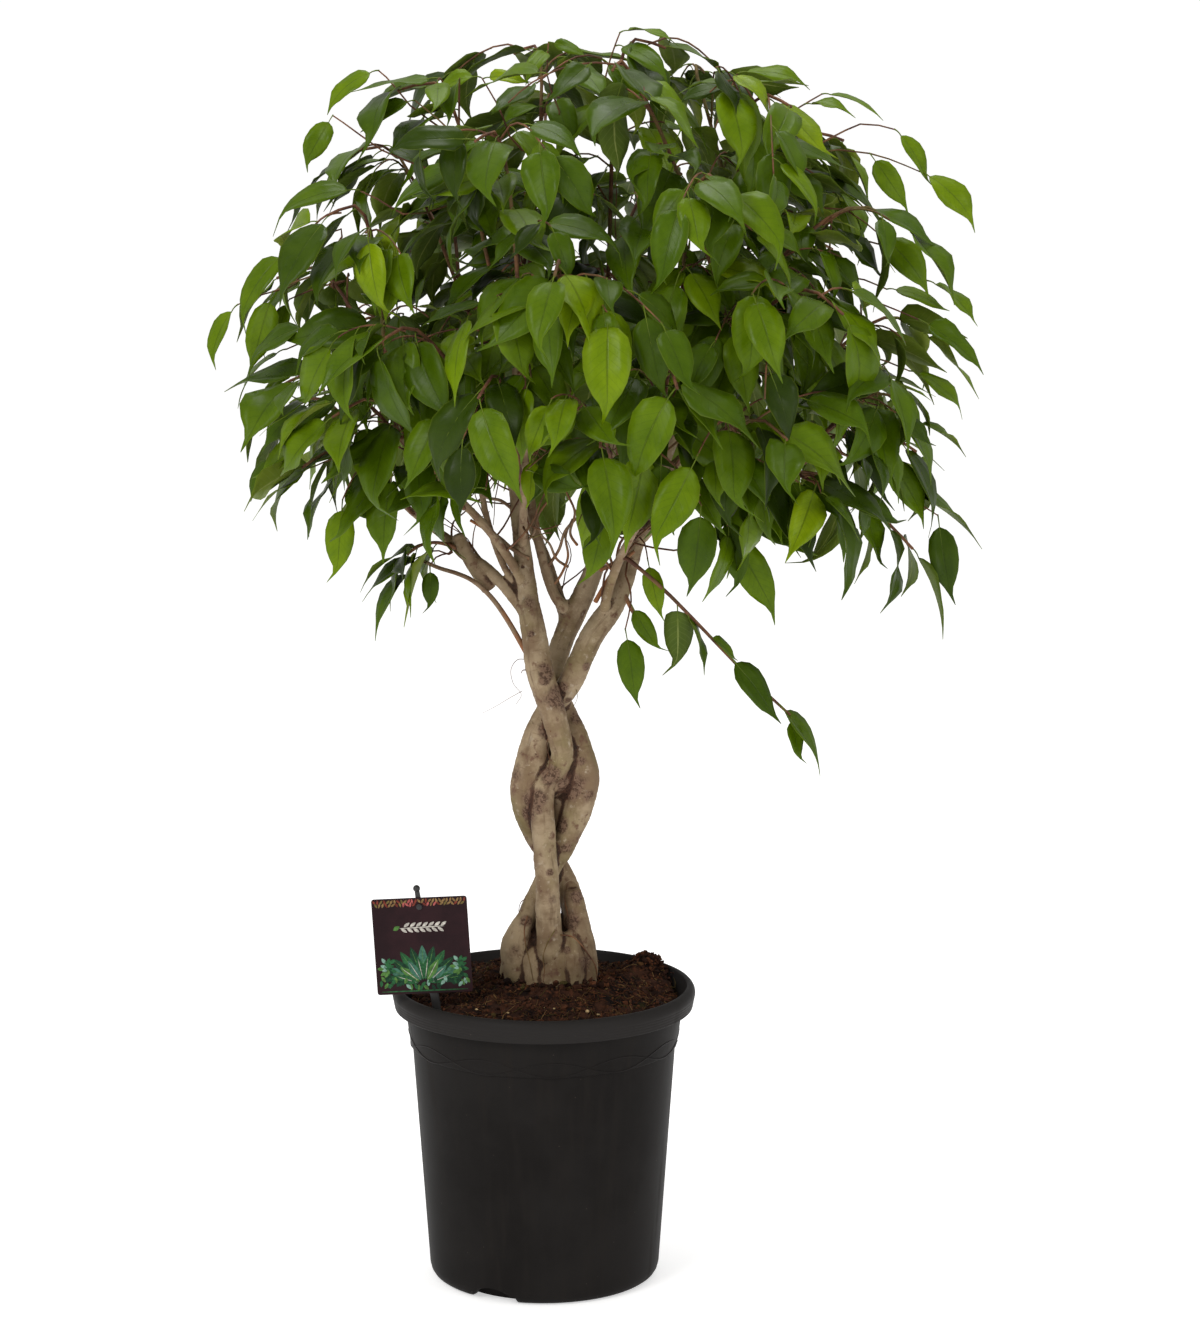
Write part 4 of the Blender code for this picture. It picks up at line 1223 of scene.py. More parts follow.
def makeStake():
    back = (label["thickness"] + stake["thickness"]) / 2 + 0.3 * mm
    front = -label["thickness"] / 2 - 0.3 * mm
    top = label["height"] / 2 + 6 * mm
    foot = (soil["edgeHeight"] - stake["buried"] - label["centre"].z) / math.cos(stake["lean"])
    bm = bmesh.new()
    for vert in bmesh.ops.create_cube(bm, size=1)["verts"]:
        height = foot + stake["point"] if vert.co.z < 0 else 0
        vert.co = Vector((vert.co.x * stake["width"], vert.co.y * stake["thickness"], height))
    lower = [f for f in bm.faces if f.normal.z < -0.5]
    pullOut(bm, lower, lambda co: (co.x * 0.12, co.y * 0.3, foot))
    upper = [f for f in bm.faces if abs(f.calc_center_median().z) < 0.1 * mm and len(f.verts) == 4]
    pullOut(bm, upper, lambda co: (co.x * stake["taper"], co.y, top))
    roundEdges(bm, [e for e in bm.edges if abs(e.verts[0].co.z - e.verts[1].co.z) > 10 * mm], 0.6 * mm)
    bmesh.ops.translate(bm, vec=(0, back, 0), verts=bm.verts)
    ball = Matrix.Translation((0, back, top + stake["knob"] * 0.6))
    bmesh.ops.create_uvsphere(bm, u_segments=24, v_segments=14, radius=stake["knob"], matrix=ball)
    bmesh.ops.transform(bm, matrix=stakePlace, verts=bm.verts)
    addPeg(bm, 20, stake["pegRadius"], (back + front) / 2, back - front)
    radius, thick = stake["pegHead"]
    head = addPeg(bm, 28, radius, front - thick / 2, thick)
    roundEdges(bm, list({e for v in head for e in v.link_edges if e.calc_length() < radius * 0.3}), 0.35 * mm)
    bmesh.ops.recalc_face_normals(bm, faces=bm.faces)
    addPiece("stake_body", bm, [plainFinish("stakePlastic")], "stake", ["label_stake"], sharp=40)


# Wood: three plaited strands, root lobes and limbs, grown together by a voxel remesh

wood = {
    "strandPoints": 150,
    "limbPoints": 14,
    "voxel": 1.62 * mm,
    "smoothing": 3,
    "neighbours": 14,  # how many samples of the lines each point looks at
    "ridge": 0.30 * mm,
    "lump": 0.9 * mm,
    "fine": 0.16 * mm,
    "fullRelief": 10 * mm,  # thinner wood has less relief
    "creaseReach": 4.0 * mm,
    "creaseDepth": 0.3 * mm,
    "creaseSmoothing": 6,
    "hollowSteps": 16,  # how far round a hollow is felt
    "hollowDepth": 0.85 * mm,  # a hollow this deep gets the darkest painted shade
    "flareTop": 0.345,  # under it the lobes melt into each other
    "flareGap": 8 * mm,
    "thinRadius": (2.5 * mm, 8.5 * mm),  # from wholly young bark to wholly old
    "lowShadeHeights": (0.37, 0.29),  # from unshaded bark down to bark darkened by painted shade near the soil
}
# How each strand ends in the flare: the front one like a thumb
feet = {
    "front": ((9, -8, 240, 8), (9, -10, 275, 8), (8, -17, 291, 8.5), (6, -22.5, 303, 11.6)),
    "right": ((28, -3, 240, 13), (28, -3, 268, 13), (29, -1, 304, 12.5)),
    "left": ((-19, 0, 240, 13), (-19, 0, 268, 13), (-18, -1, 300, 12.5)),
}
# The flare under the strands and the root lobes round it, each from high to low: x, y, z and radius in mm
lobes = (
    ((5, 2, 330, 6), (5, 1, 315, 15), (4, 0, 295, 25), (4, 0, 270, 31), (4, 0, 240, 33)),
    ((-11, -3, 346, 5.5), (-14, -6, 331, 8.2), (-22, -9, 311, 12.4), (-24, -9, 297, 14.6),
     (-23, -9, 274, 13.0), (-20, -8, 240, 12)),
    ((-6, -17, 303, 4.5), (-10, -20, 293, 8), (-9, -21, 277, 8.5), (-12, -23, 250, 9)),
    ((6, -14, 312, 9), (10, -18, 298, 13), (11, -18, 280, 15.5), (12, -19, 240, 17.5)),
    ((20, -13, 316, 6), (24, -18, 302, 10), (25, -19, 287, 12.5), (24, -18, 262, 10)),
    ((25, 0, 352, 8), (28, -2, 331, 11.5), (31, -4, 306, 14.2), (33, -5, 281, 15.2), (32, -5, 240, 14)),
    ((28, 8, 316, 7), (31, 14, 296, 11), (32, 18, 272, 13), (32, 19, 240, 14)),
    ((4, 8, 308, 6), (3, 17, 290, 10), (1, 20, 268, 13), (1, 20, 240, 14)),
    ((-16, 6, 320, 6), (-23, 11, 300, 10), (-27, 14, 274, 12.5), (-27, 15, 240, 13)),
)
# Limbs and stubs that show under the crown, from the wood outwards
stubs = (
    ((-47, 10, 619, 6.6), (-60, 10, 640, 6.7), (-69, 10, 656, 6.3), (-75, 10, 669, 5.8)),
    ((-14, -2, 615, 3.8), (-24, -2, 627, 3.6), (-33, -1, 640, 3.4), (-42, 0, 662, 3.3),
     (-51, 1, 694, 3.2), (-58, 4, 742, 3.0)),
    ((20, 12, 603, 6.0), (11, 10, 613, 5.4), (4, 10, 632, 5.0), (-3, 10, 659, 4.8),
     (-9, 10, 686, 4.6), (-18, 12, 745, 4.0)),
)
# Wood that has grown together inside the plait
grafts = (
    ((6, 1, 445, 9), (18, 2, 447, 10), (32, 4, 449, 9)),
    ((3, 3, 446, 6.5), (4, 4, 475, 6), (5, 5, 506, 7)),
    ((13, 7, 386, 8), (15, 7, 414, 8), (17, 6, 444, 8)),
    ((2, -8, 452, 9), (14, -6, 450, 8), (25, -3, 462, 7)),
)
# Knots seen from the front: x and z, radius and height in mm, and how deep the eye in the middle is
knots = (
    (2, 546, 7.0, 1.5, 1.0), (18, 537, 5.5, 2.0, 0.5), (22, 524, 5.0, 1.8, 0.8), (-7, 523, 6.0, 2.4, 0.0),
    (38, 555, 4.5, 0.8, 0.6), (-4, 428, 5.0, 0.9, 0.8), (6, 374, 4.2, 1.1, 1.6), (-15, 327, 6.5, 1.9, 0.6),
    (-10, 317, 4.0, 0.0, 3.5), (21, 303, 4.5, 1.2, 1.4), (-10, 585, 4.0, 0.7, 0.4), (34, 470, 4.5, 0.6, 0.3),
)
# Rough brown patches seen from the front: x and z, radius in mm, and strength
scars = (
    (6, 459, 10, 0.9), (24, 448, 13, 1.0), (-7, 437, 11, 0.9), (-11, 424, 9, 0.8), (14, 530, 13, 0.9),
    (3, 552, 9, 0.8), (-8, 316, 10, 0.8), (24, 325, 10, 0.8), (2, 497, 8, 0.7), (16, 412, 8, 0.8),
    (-5, 640, 12, 0.7), (-12, 612, 9, 0.6), (30, 347, 8, 0.7), (30, 505, 9, 0.6), (-24, 460, 9, 0.5),
    (40, 440, 8, 0.5), (20, 392, 8, 0.6), (-26, 300, 8, 0.5), (38, 290, 10, 0.6), (8, 350, 7, 0.4),
)


def fineStrands():
    # Each strand's and limb's line of (x, y, z, radius) in metres
    lines = []
    for name, waypoints in trunks.items():
        low = feet[name]
        grown = low + tuple(point for point in waypoints if point[2] > low[-1][2] + 8)
        lines.append([p * mm for p in smoothPath(grown, wood["strandPoints"])])
    for points, radii in limbPaths(trunkPaths(), wood["limbPoints"])[len(trunks):]:
        lines.append([Vector((*p, r)) for p, r in zip(points, radii)])
    for grown in lobes + grafts + stubs:
        lines.append([p * mm for p in smoothPath(grown, 16)])
    return lines


def soften(bm, verts, times):
    for _ in range(times):
        bmesh.ops.smooth_vert(bm, verts=verts, factor=0.5, use_axis_x=True, use_axis_y=True, use_axis_z=True)


def voxelWood(lines):
    rough = addObject("rough", tubeMesh([[tuple(p) for p in line] for line in lines], 4))
    remesh = rough.modifiers.new("remesh", "REMESH")
    remesh.mode = "VOXEL"
    remesh.voxel_size = wood["voxel"]
    made = takeMesh(rough)
    bm = bmesh.new()
    bm.from_mesh(made)
    bpy.data.meshes.remove(made)
    soften(bm, bm.verts, wood["smoothing"])
    bmesh.ops.recalc_face_normals(bm, faces=bm.faces)
    return bm


def axisFrames(lines):
    # For each sample on each line: place, radius, direction, a side direction and the length so far
    samples = []
    for number, line in enumerate(lines):
        side = Vector((0, 1, 0))
        gone = 0.37 * number
        for i, point in enumerate(line):
            here = Vector(point[:3])
            after = Vector(line[min(i + 1, len(line) - 1)][:3])
            before = Vector(line[max(i - 1, 0)][:3])
            ahead = (after - before).normalized()
            side = (side - ahead * side.dot(ahead)).normalized()
            samples.append((number, here, point[3], ahead, side, gone))
            gone += (after - here).length
    return samples


def onFront(surface, x, z):
    # Where a line of sight from the front meets the wood, and which way it faces there
    return surface.ray_cast(Vector((x * mm, -0.2, z * mm)), Vector((0, 1, 0)))[:2]


def marksOn(surface, rows):
    # Each row's x and z become a place on the wood
    found = [(onFront(surface, x, z)[0], *rest) for x, z, *rest in rows]
    return [row for row in found if row[0]]


def nearestSample(tree, samples, point):
    # The sample whose wood is nearest, and how much further off the next line's wood is
    best, second = None, 1.0
    for _, index, distance in tree.find_n(point, wood["neighbours"]):
        number, gap = samples[index][0], distance - samples[index][2]
        if best is None or gap < best[0]:
            if best is not None and number != best[1]:
                second = min(second, best[0])
            best = (gap, number, index)
        elif number != best[1]:
            second = min(second, gap)
    return samples[best[2]], second - best[0] if second < 1 else 1.0


def squeezed(local, across, ahead):
    return Vector((local.x * across, local.y * across, local.z * ahead))


def barkRelief(point, local):
    ring, lump = noise.noise(squeezed(local, 45, 420)), noise.noise(squeezed(local, 40, 48))
    if point.z < wood["flareTop"]:
        lump += 1.3 * noise.noise(point * 62 + Vector((5, 0, 2)))
    fine = noise.fractal(squeezed(local, 160, 260), 0.8, 2.0, 3)
    return wood["ridge"] * ring + wood["lump"] * lump + wood["fine"] * fine


def markWood(point, eyes, patches):
    # How far the knots lift this point, and how scarred it is
    move, mark = 0.0, 0.0
    for place, reach, height, depth in eyes:
        away = (point - place).length / reach
        if away < 2:
            wide = math.exp(-(away**2) * 1.6)
            ripple = 0.25 * math.cos(away * 9) * wide
            move += height * (wide + ripple) - depth * math.exp(-(away**2) * 12)
            mark = max(mark, wide)
    for place, reach, strength in patches:
        away = (point - place).length / reach
        if away < 2:
            mark = max(mark, strength * math.exp(-(away**2)))
    return move, mark


def shareOf(value, low, high):
    return max(0.0, min(1.0, (value - low) / (high - low)))


def dressWood(bm, lines):
    # Bark relief, and what the bark reads: its own coordinates, hollows, knots and thin wood
    samples = axisFrames(lines)
    tree = KDTree(len(samples))
    for i, sample in enumerate(samples):
        tree.insert(sample[1], i)
    tree.balance()
    surface = BVHTree.FromBMesh(bm)
    eyes = [(spot, *(size * mm for size in sizes)) for spot, *sizes in marksOn(surface, knots)]
    patches = [(spot, radius * mm, strength) for spot, radius, strength in marksOn(surface, scars)]
    barkPlace = bm.verts.layers.float_vector.new("barkPlace")
    crease, thin, knotted = (bm.verts.layers.float.new(name) for name in ("crease", "thin", "knotted"))
    bm.normal_update()
    moves, meeting = [], []
    for vert in bm.verts:
        (_, here, radius, ahead, side, gone), gap = nearestSample(tree, samples, vert.co)
        offset = vert.co - here
        local = Vector((offset.dot(side), offset.dot(ahead.cross(side)), gone + offset.dot(ahead)))
        vert[barkPlace] = local
        tight = 1 - shareOf(gap, 0, wood["creaseReach"])
        if tight > 0.05 or (vert.co.z < wood["flareTop"] and gap < wood["flareGap"]):
            meeting.append(vert)
        vert[thin] = 1 - shareOf(radius, *wood["thinRadius"])
        move, vert[knotted] = markWood(vert.co, eyes, patches)
        move += min(1.0, radius / wood["fullRelief"]) * barkRelief(vert.co, local)
        move -= wood["creaseDepth"] * tight**2
        moves.append(vert.normal * move)
    for vert, move in zip(bm.verts, moves):
        vert.co += move
    soften(bm, meeting, wood["creaseSmoothing"])
    bm.normal_update()
    # How far smoothing would raise the surface: its hollows, which the bark paints with painted shade
    shaped = [vert.co.copy() for vert in bm.verts]
    soften(bm, bm.verts, wood["hollowSteps"])
    hollows = [(vert.co - was).dot(vert.normal) for vert, was in zip(bm.verts, shaped)]
    for vert, was, hollow in zip(bm.verts, shaped, hollows):
        vert.co = was
        vert[crease] = shareOf(hollow, 0, wood["hollowDepth"])


def barkMaterial():
    material, tree, shader = newMaterial("bark", 0.8, 0.22)
    place = readAttribute(tree, "barkPlace", "Vector")
    crease, thin, knotted = (readAttribute(tree, name) for name in ("crease", "thin", "knotted"))
    ringed, streaked, pores = (
        stretched(tree, place, stretch) for stretch in ((0.3, 0.3, 2.0), (1.6, 1.6, 0.22), (0.7, 0.7, 1.1))
    )
    pale = blotches(tree, place, colour(124, 102, 78), ((34.0, 0.38, 0.62, (163, 144, 117)),))
    ash = blotches(tree, place, pale["Colour"], (
        (15.0, 0.46, 0.70, (120, 106, 70)), (95.0, 0.55, 0.70, (104, 76, 60)),
        (150.0, 0.57, 0.80, (180, 166, 146)),
    ))
    streaks = blotches(tree, streaked, ash["Colour"], ((120.0, 0.54, 0.80, (96, 74, 55)),))
    barred, _ = shadeBy(tree, ringed, streaks["Colour"], 190.0, 0.58, 0.78, (1, 1, 1), (0.74, 0.69, 0.64))
    dots = useGroup(tree, "specks", Vector=pores, Scale=300.0, Size=0.26, Share=0.20)["Factor"]
    dotted = cover(tree, barred, dots, 0.55, (186, 172, 142))
    pitted = dustOver(tree, pores, dotted, 210.0, 0.22, 0.12, 0.8, (56, 38, 29))
    younger = cover(tree, pitted, thin, 0.30, (136, 106, 80))
    rough = putNode(tree, "TexNoise", {"Vector": place, "Scale": 330.0, "Detail": 4.0, "Distortion": 1.2})
    rough = rough.outputs["Fac"]
    broad = putNode(tree, "TexNoise", {"Vector": place, "Scale": 85.0, "Detail": 3.0}).outputs["Fac"]
    # Scars, and the painted shade in the hollows, fray along one broad noise, and wrinkles break them up
    wrinkle = remap(tree, rough, 0.38, 0.58)
    scar = blendColours(tree, wrinkle, colour(62, 40, 31), colour(118, 93, 76))
    uneven = calculate(tree, "MULTIPLY", calculate(tree, "SUBTRACT", broad, 0.5), 0.7)
    frayed, hollowShade = (calculate(tree, "ADD", mark, uneven) for mark in (knotted, crease))
    torn = calculate(tree, "MULTIPLY", remap(tree, frayed, 0.14, 0.55), 0.9)
    dark = blendColours(tree, torn, younger, scar)
    # Painted shade in the hollows between and within the strands: brown where it sets in, near black deep in
    broken = (calculate(tree, "ADD", wrinkle, 0.35), calculate(tree, "SUBTRACT", 1.25, wrinkle))
    hollowShadeStops = ((0.12, 0.40, (78, 50, 37)), (0.23, 0.62, (34, 21, 15)))
    for share, (low, high, tint) in zip(broken, hollowShadeStops):
        depth = calculate(tree, "MULTIPLY", remap(tree, hollowShade, low, high), share)
        dark = blendColours(tree, calculate(tree, "MINIMUM", depth, 0.9), dark, colour(*tint))
    # Painted shade: the bark grows darker from the lower plait down to the root base
    height = putNode(tree, "SeparateXYZ", {"Vector": objectCoordinates(tree)}).outputs["Z"]
    lowShade = remap(tree, height, *wood["lowShadeHeights"])
    lowShaded = blendColours(tree, lowShade, dark, colour(222, 219, 212), "MULTIPLY")
    tree.links.new(lowShaded, shader.inputs["Base Color"])
    tree.links.new(remap(tree, pale["Factor"], 0.0, 1.0, 0.70, 0.86), shader.inputs["Roughness"])
    grain = useGroup(tree, "grain", Vector=ringed, Coarse=240.0, Fine=1000.0, Fine_share=0.4)["Height"]
    lifted = calculate(tree, "MULTIPLY_ADD", dots, 0.35, grain)
    coarse = calculate(tree, "MULTIPLY", rough, calculate(tree, "MAXIMUM", crease, knotted))
    setBump(tree, shader, calculate(tree, "MULTIPLY_ADD", coarse, 1.6, lifted), 0.5, 0.9)
    return material


def makeWood(bark):
    lines = fineStrands()
    bm = voxelWood(lines)
    dressWood(bm, lines)
    return addPiece("braided_wood", bm, [bark], "bark", ["braided_trunk"])


# Hair roots: those that lie on the wood as x and z, and free ones as x, y and z, in mm with their radius
surfaceRoots = (
    (((15, 317), (24, 314), (32, 307), (40, 296), (46, 284), (47, 272)), 0.75),
    (((-14, 331), (-17, 320), (-16, 306), (-12, 292), (-9, 276)), 0.55),
    (((10, 322), (4, 312), (0, 298), (1, 284), (-1, 270)), 0.5),
    (((7, 500), (3, 484), (6, 470), (3, 458)), 0.4),
    (((22, 330), (19, 344), (21, 356)), 0.45),
)
freeRoots = (
    (((-12, -10, 560), (-22, -12, 561), (-28, -12, 552), (-26, -13, 540), (-19, -13, 530),
      (-24, -12, 521)), 0.32),
    (((-18, -11, 533), (-30, -10, 526), (-42, -6, 518), (-54, -2, 511)), 0.25),
    (((-10, -12, 551), (-17, -14, 552), (-19, -13, 549)), 0.6),
    (((24, -8, 540), (29, -10, 534), (30, -9, 526), (27, -9, 519)), 0.35),
    (((-14, -5, 345), (-20, -8, 342), (-22, -8, 334), (-20, -9, 329)), 0.4),
)
# Thin broken twigs on the limbs, in mm with their radius
brokenTwigs = (
    (((-15, -2, 566), (-31, 0, 594), (-45, 0, 614), (-60, 0, 628), (-74, 0, 635), (-90, 0, 640),
      (-104, 0, 646)), 2.3),
    (((-62, 12, 642), (-72, 14, 649), (-78, 15, 655), (-83, 15, 660)), 2.4),
    (((-12, -8, 650), (-27, -10, 659), (-37, -10, 668), (-48, -10, 675), (-63, -10, 684)), 1.8),
    (((70, -6, 622), (76, -12, 609), (83, -12, 596), (89, -12, 584)), 2.0),
    (((50, -10, 640), (64, -12, 647), (74, -12, 652), (80, -12, 657)), 1.9),
    (((46, -10, 612), (55, -16, 629), (60, -16, 637), (66, -16, 641)), 2.1),
    (((4, 8, 640), (14, 2, 656), (20, -2, 674), (32, -4, 688), (38, -4, 706)), 1.4),
    (((8, 10, 622), (16, 4, 634), (22, 2, 650), (20, 0, 668), (26, -2, 684)), 1.2),
    (((22, 8, 640), (12, 2, 648), (6, -4, 662), (-2, -6, 672), (-6, -8, 690)), 1.2),
    (((-18, -4, 660), (-8, -6, 672), (-4, -8, 688), (4, -10, 700)), 1.3),
    (((30, 4, 660), (24, -4, 672), (28, -6, 690), (22, -8, 706)), 1.2),
    (((-24, 0, 690), (-36, -4, 700), (-50, -6, 704), (-66, -6, 716)), 1.5),
)


def slimming(spots, radius, loss):
    # A smooth line through spots in mm that grows thinner along its way
    path = smoothPath(spots, 24)
    return [(*(p * mm), radius * mm * (1.1 - loss * i / 23)) for i, p in enumerate(path)]


def laidOn(surface, spots, radius):
    # The same spots on the wood's surface, half sunk
    hits = [onFront(surface, x, z) for x, z in spots]
    return [tuple(hit / mm + normal * radius * 0.5) for hit, normal in hits if hit]


def makeRoots(woodPiece):
    bm = bmesh.new()
    bm.from_mesh(woodPiece.data)
    surface = BVHTree.FromBMesh(bm)
    bm.free()
    lines = [slimming(laidOn(surface, spots, radius), radius, 0.5) for spots, radius in surfaceRoots]
    lines += [slimming(spots, radius, 0.6) for spots, radius in freeRoots]
    addTubes("hair_roots", lines, 1, twigMaterial)
    lines = [slimming(spots, radius, 0.35) for spots, radius in brokenTwigs]
    addTubes("broken_twigs", lines, 2, plainFinish("deadTwig"))


# Leaves: an ovate blade with a thin drip tip, folded along the midrib, arched and waved, on a slim stalk

leafLook = {
    "rows": (0, 0.04, 0.13, 0.27, 0.42, 0.56, 0.67, 0.76, 0.86, 1.0),
    "halfWidths": (0.07, 0.46, 0.84, 1.0, 0.98, 0.83, 0.59, 0.31, 0.125, 0.012),
    "columns": 4,
    "width": 0.202,
    "stalkShare": 0.13,
    "thickness": 0.35 * mm,
    "stalkRadius": 0.62 * mm,
    "stalkTone": 0.55,
    "youngShare": 0.02,
    "veins": 15.0,
    "veinSlant": 2.3,
}
leafSides = {
    "leafTop": {
        "surface": (0.34, 0.12),
        "roughness": (0.27, 0.40),
        "tones": ((0.0, (35, 50, 4)), (0.4, (67, 91, 3)), (0.8, (97, 122, 4)), (1.0, (118, 140, 8))),
        "blotches": (48.0, 0.3, 0.7, (0.80, 0.84, 0.80), (1.12, 1.10, 1.0)),
        "veins": (0.18, (38, 60, 8)),
        "midrib": (0.40, (42, 58, 10)),
        "edge": (0.30, (112, 128, 36)),
        "veinHeight": -0.22,
        "grain": (140.0, 1300.0, 0.15, 0.35),
    },
    "leafUnder": {
        "surface": (0.55, 0.14),
        "tones": ((0.0, (68, 86, 28)), (0.5, (90, 108, 30)), (1.0, (134, 148, 50))),
        "blotches": (60.0, 0.3, 0.7, (0.86, 0.88, 0.86), (1.06, 1.05, 1.0)),
        "veins": (0.22, (128, 144, 76)),
        "midrib": (0.7, (150, 158, 88)),
        "veinHeight": 0.5,
        "grain": (200.0, 1500.0, 0.3, 0.3),
    },
}


def leafCharacter(rng):
    # What makes one leaf differ from the next
    young = rng.random() < leafLook["youngShare"]
    return {
        "width": leafLook["width"] * rng.uniform(0.84, 1.10),
        "fold": rng.uniform(0.04, 0.55),
        "twist": rng.gauss(0, 0.55),
        "sweep": rng.gauss(0, 0.055),
        "tipSway": rng.gauss(0, 1.7),
        "ripple": rng.uniform(0.010, 0.060),
        "phase": rng.uniform(0, 6.28),
        "curl": rng.uniform(0.05, 1.05),
        "tone": rng.uniform(0.94, 1.0) if young else min(0.88, max(0.0, rng.gauss(0.45, 0.20))),
    }


def bladePoint(leaf, character, share, across):
    # share runs along the blade, and across from -1 to 1. The midrib is an arc.
    origin, ahead, normal, length, bend, wave = leaf
    rows, widths = leafLook["rows"], leafLook["halfWidths"]
    x = leafLook["stalkShare"] + (1 - leafLook["stalkShare"]) * share
    y = (character["width"] * widths[rows.index(share)] if share in rows else 0.0) * across
    arch = max(0.02, 2 * bend + character["curl"])
    spine = ahead * (math.sin(arch * x) / arch) - normal * ((1 - math.cos(arch * x)) / arch)
    facing = normal * math.cos(arch * x) + ahead * math.sin(arch * x)
    flat = abs(y) / leafLook["width"]
    lift = character["fold"] * abs(y) * (1 - 0.35 * flat)
    lift += wave * 1.5 * math.copysign(flat, y) * math.cos(math.pi * (x - 0.13) / 0.74)
    lift += character["ripple"] * flat * math.sin(character["phase"] + 9.5 * x + (2.1 if y > 0 else 0))
    roll = character["twist"] * (x - 0.3)
    sway = character["sweep"] * x**2 + character["tipSway"] * max(0.0, x - 0.74) ** 2
    side = normal.cross(ahead)
    place = spine + side * (y * math.cos(roll) + sway) + facing * (lift + y * math.sin(roll))
    return origin + length * place


def addBlade(bm, layers, leaf, character):
    rows, columns = leafLook["rows"], leafLook["columns"]
    last = len(rows) - 1
    made = bmesh.ops.create_grid(bm, x_segments=last, y_segments=columns, size=1, calc_uvs=True)["verts"]
    for vert in made:
        share = rows[round((vert.co.x + 1) / 2 * last)]
        vert.co = bladePoint(leaf, character, share, vert.co.y)
        vert[layers["tone"]] = character["tone"]
        vert[layers["facing"]] = leaf[2] + leaf[1] * min(1.2, leaf[4] * 2 + character["curl"]) * 0.5
    return list({f for v in made for f in v.link_faces})


def stalkLine(leaf, character):
    # From inside the stem, along the blade's underside to past its middle
    origin, ahead, normal, length, bend, _ = leaf
    rest = leafLook["stalkRadius"]
    line = []
    for x, thick in ((-0.012, 1.2), (0.045, 1.0), (0.09, 0.9), (0.13, 0.85)):
        sag = math.sin(math.pi * min(1.0, max(0.0, x) / 0.13)) * 0.012
        point = origin + length * (ahead * x + normal * (sag - bend * x**2))
        line.append((*point, rest * thick))
    for share, thick in ((0.045, 0.75), (0.14, 0.6), (0.29, 0.45), (0.46, 0.32), (0.62, 0.2)):
        point = bladePoint(leaf, character, share, 0.0) - normal * leafLook["thickness"] * 0.6
        line.append((*point, rest * thick))
    return line


def veinMasks(tree):
    # How near the edge, the midrib and the slanting side veins are, from the leaf map
    leafMap = putNode(tree, "SeparateXYZ", {"Vector": putNode(tree, "UVMap", uv_map="leafMap").outputs["UV"]})
    u, v = leafMap.outputs[0], leafMap.outputs[1]
    away = calculate(tree, "MULTIPLY", calculate(tree, "ABSOLUTE", calculate(tree, "SUBTRACT", v, 0.5)), 2.0)
    midrib = remap(tree, away, 0.075, 0.02)
    rows = calculate(tree, "MULTIPLY", u, leafLook["veins"])
    slant = calculate(tree, "SUBTRACT", rows, calculate(tree, "MULTIPLY", away, leafLook["veinSlant"]))
    cycle = calculate(tree, "ABSOLUTE", calculate(tree, "SUBTRACT", calculate(tree, "FRACT", slant), 0.5))
    veins = remap(tree, cycle, 0.10, 0.0)
    return away, midrib, calculate(tree, "MULTIPLY", veins, remap(tree, away, 1.0, 0.75))


def leafMaterial(name):
    # On top the veins are sunk and the edge is pale, underneath the side veins stand out
    look = leafSides[name]
    material, tree, shader = newMaterial(name, *look["surface"])
    away, midrib, veins = veinMasks(tree)
    place = objectCoordinates(tree)
    shade, factor = shadeBy(tree, place, toneRamp(tree, look["tones"]), *look["blotches"])
    shade = cover(tree, shade, veins, *look["veins"])
    shade = cover(tree, shade, midrib, *look["midrib"])
    coarse, fine, share, strength = look["grain"]
    height = useGroup(tree, "grain", Vector=place, Coarse=coarse, Fine=fine, Fine_share=share)["Height"]
    if "edge" in look:
        shade = cover(tree, shade, remap(tree, away, 0.93, 1.0), *look["edge"])
        tree.links.new(remap(tree, factor, 0.0, 1.0, *look["roughness"]), shader.inputs["Roughness"])
        height = calculate(tree, "SUBTRACT", height, midrib)
    height = calculate(tree, "MULTIPLY_ADD", veins, look["veinHeight"], height)
    tree.links.new(shade, shader.inputs["Base Color"])
    setBump(tree, shader, height, strength, 0.5)
    return material


# Foliage: each solid's spray with fine leaves, side twigs with more leaves, and bare twigs inside the crown

foliage = {
    "twigsPerStem": 7,
    "twigLength": (0.050, 0.115),
    "twigRadius": (1.0 * mm, 0.65 * mm),
    "twigLeaves": (4, 7),
    "twigTries": 6,
    "leafTries": 6,
    "leafSize": (0.62, 1.0),
    "innerTwigs": 250,
    "innerHeight": 0.78,
    "topLevels": (1.03, 0.85, 1.08),  # crown levels that twigs, inner twigs and leaves stay under
    "nearby": 0.13,
    "leafNearby": 0.10,
    "leafHang": 0.03,  # how far below the lowest twig a leaf's tip may reach
    "stemPoints": 16,
    "spare": 6 * mm,  # how far a leaf may stand out of the solids' box
    "lowestTwig": 0.665,
    "fullHeight": 0.90,  # from here up, every side twig grows
    "lowShare": 0.30,
    "bareTwigs": 230,
    "fullPart": (0.80, 1.01, 0.225),  # heights and sideways reach, beyond which leaves are left out
    "thinning": 0.33,
    "seed": 41,
}
# The limbs show here below the crown's front: x, z and the nearest y that stays clear
limbWindow = {"x": (-0.095, 0.026), "z": (0.52, 0.722), "y": 0.03}

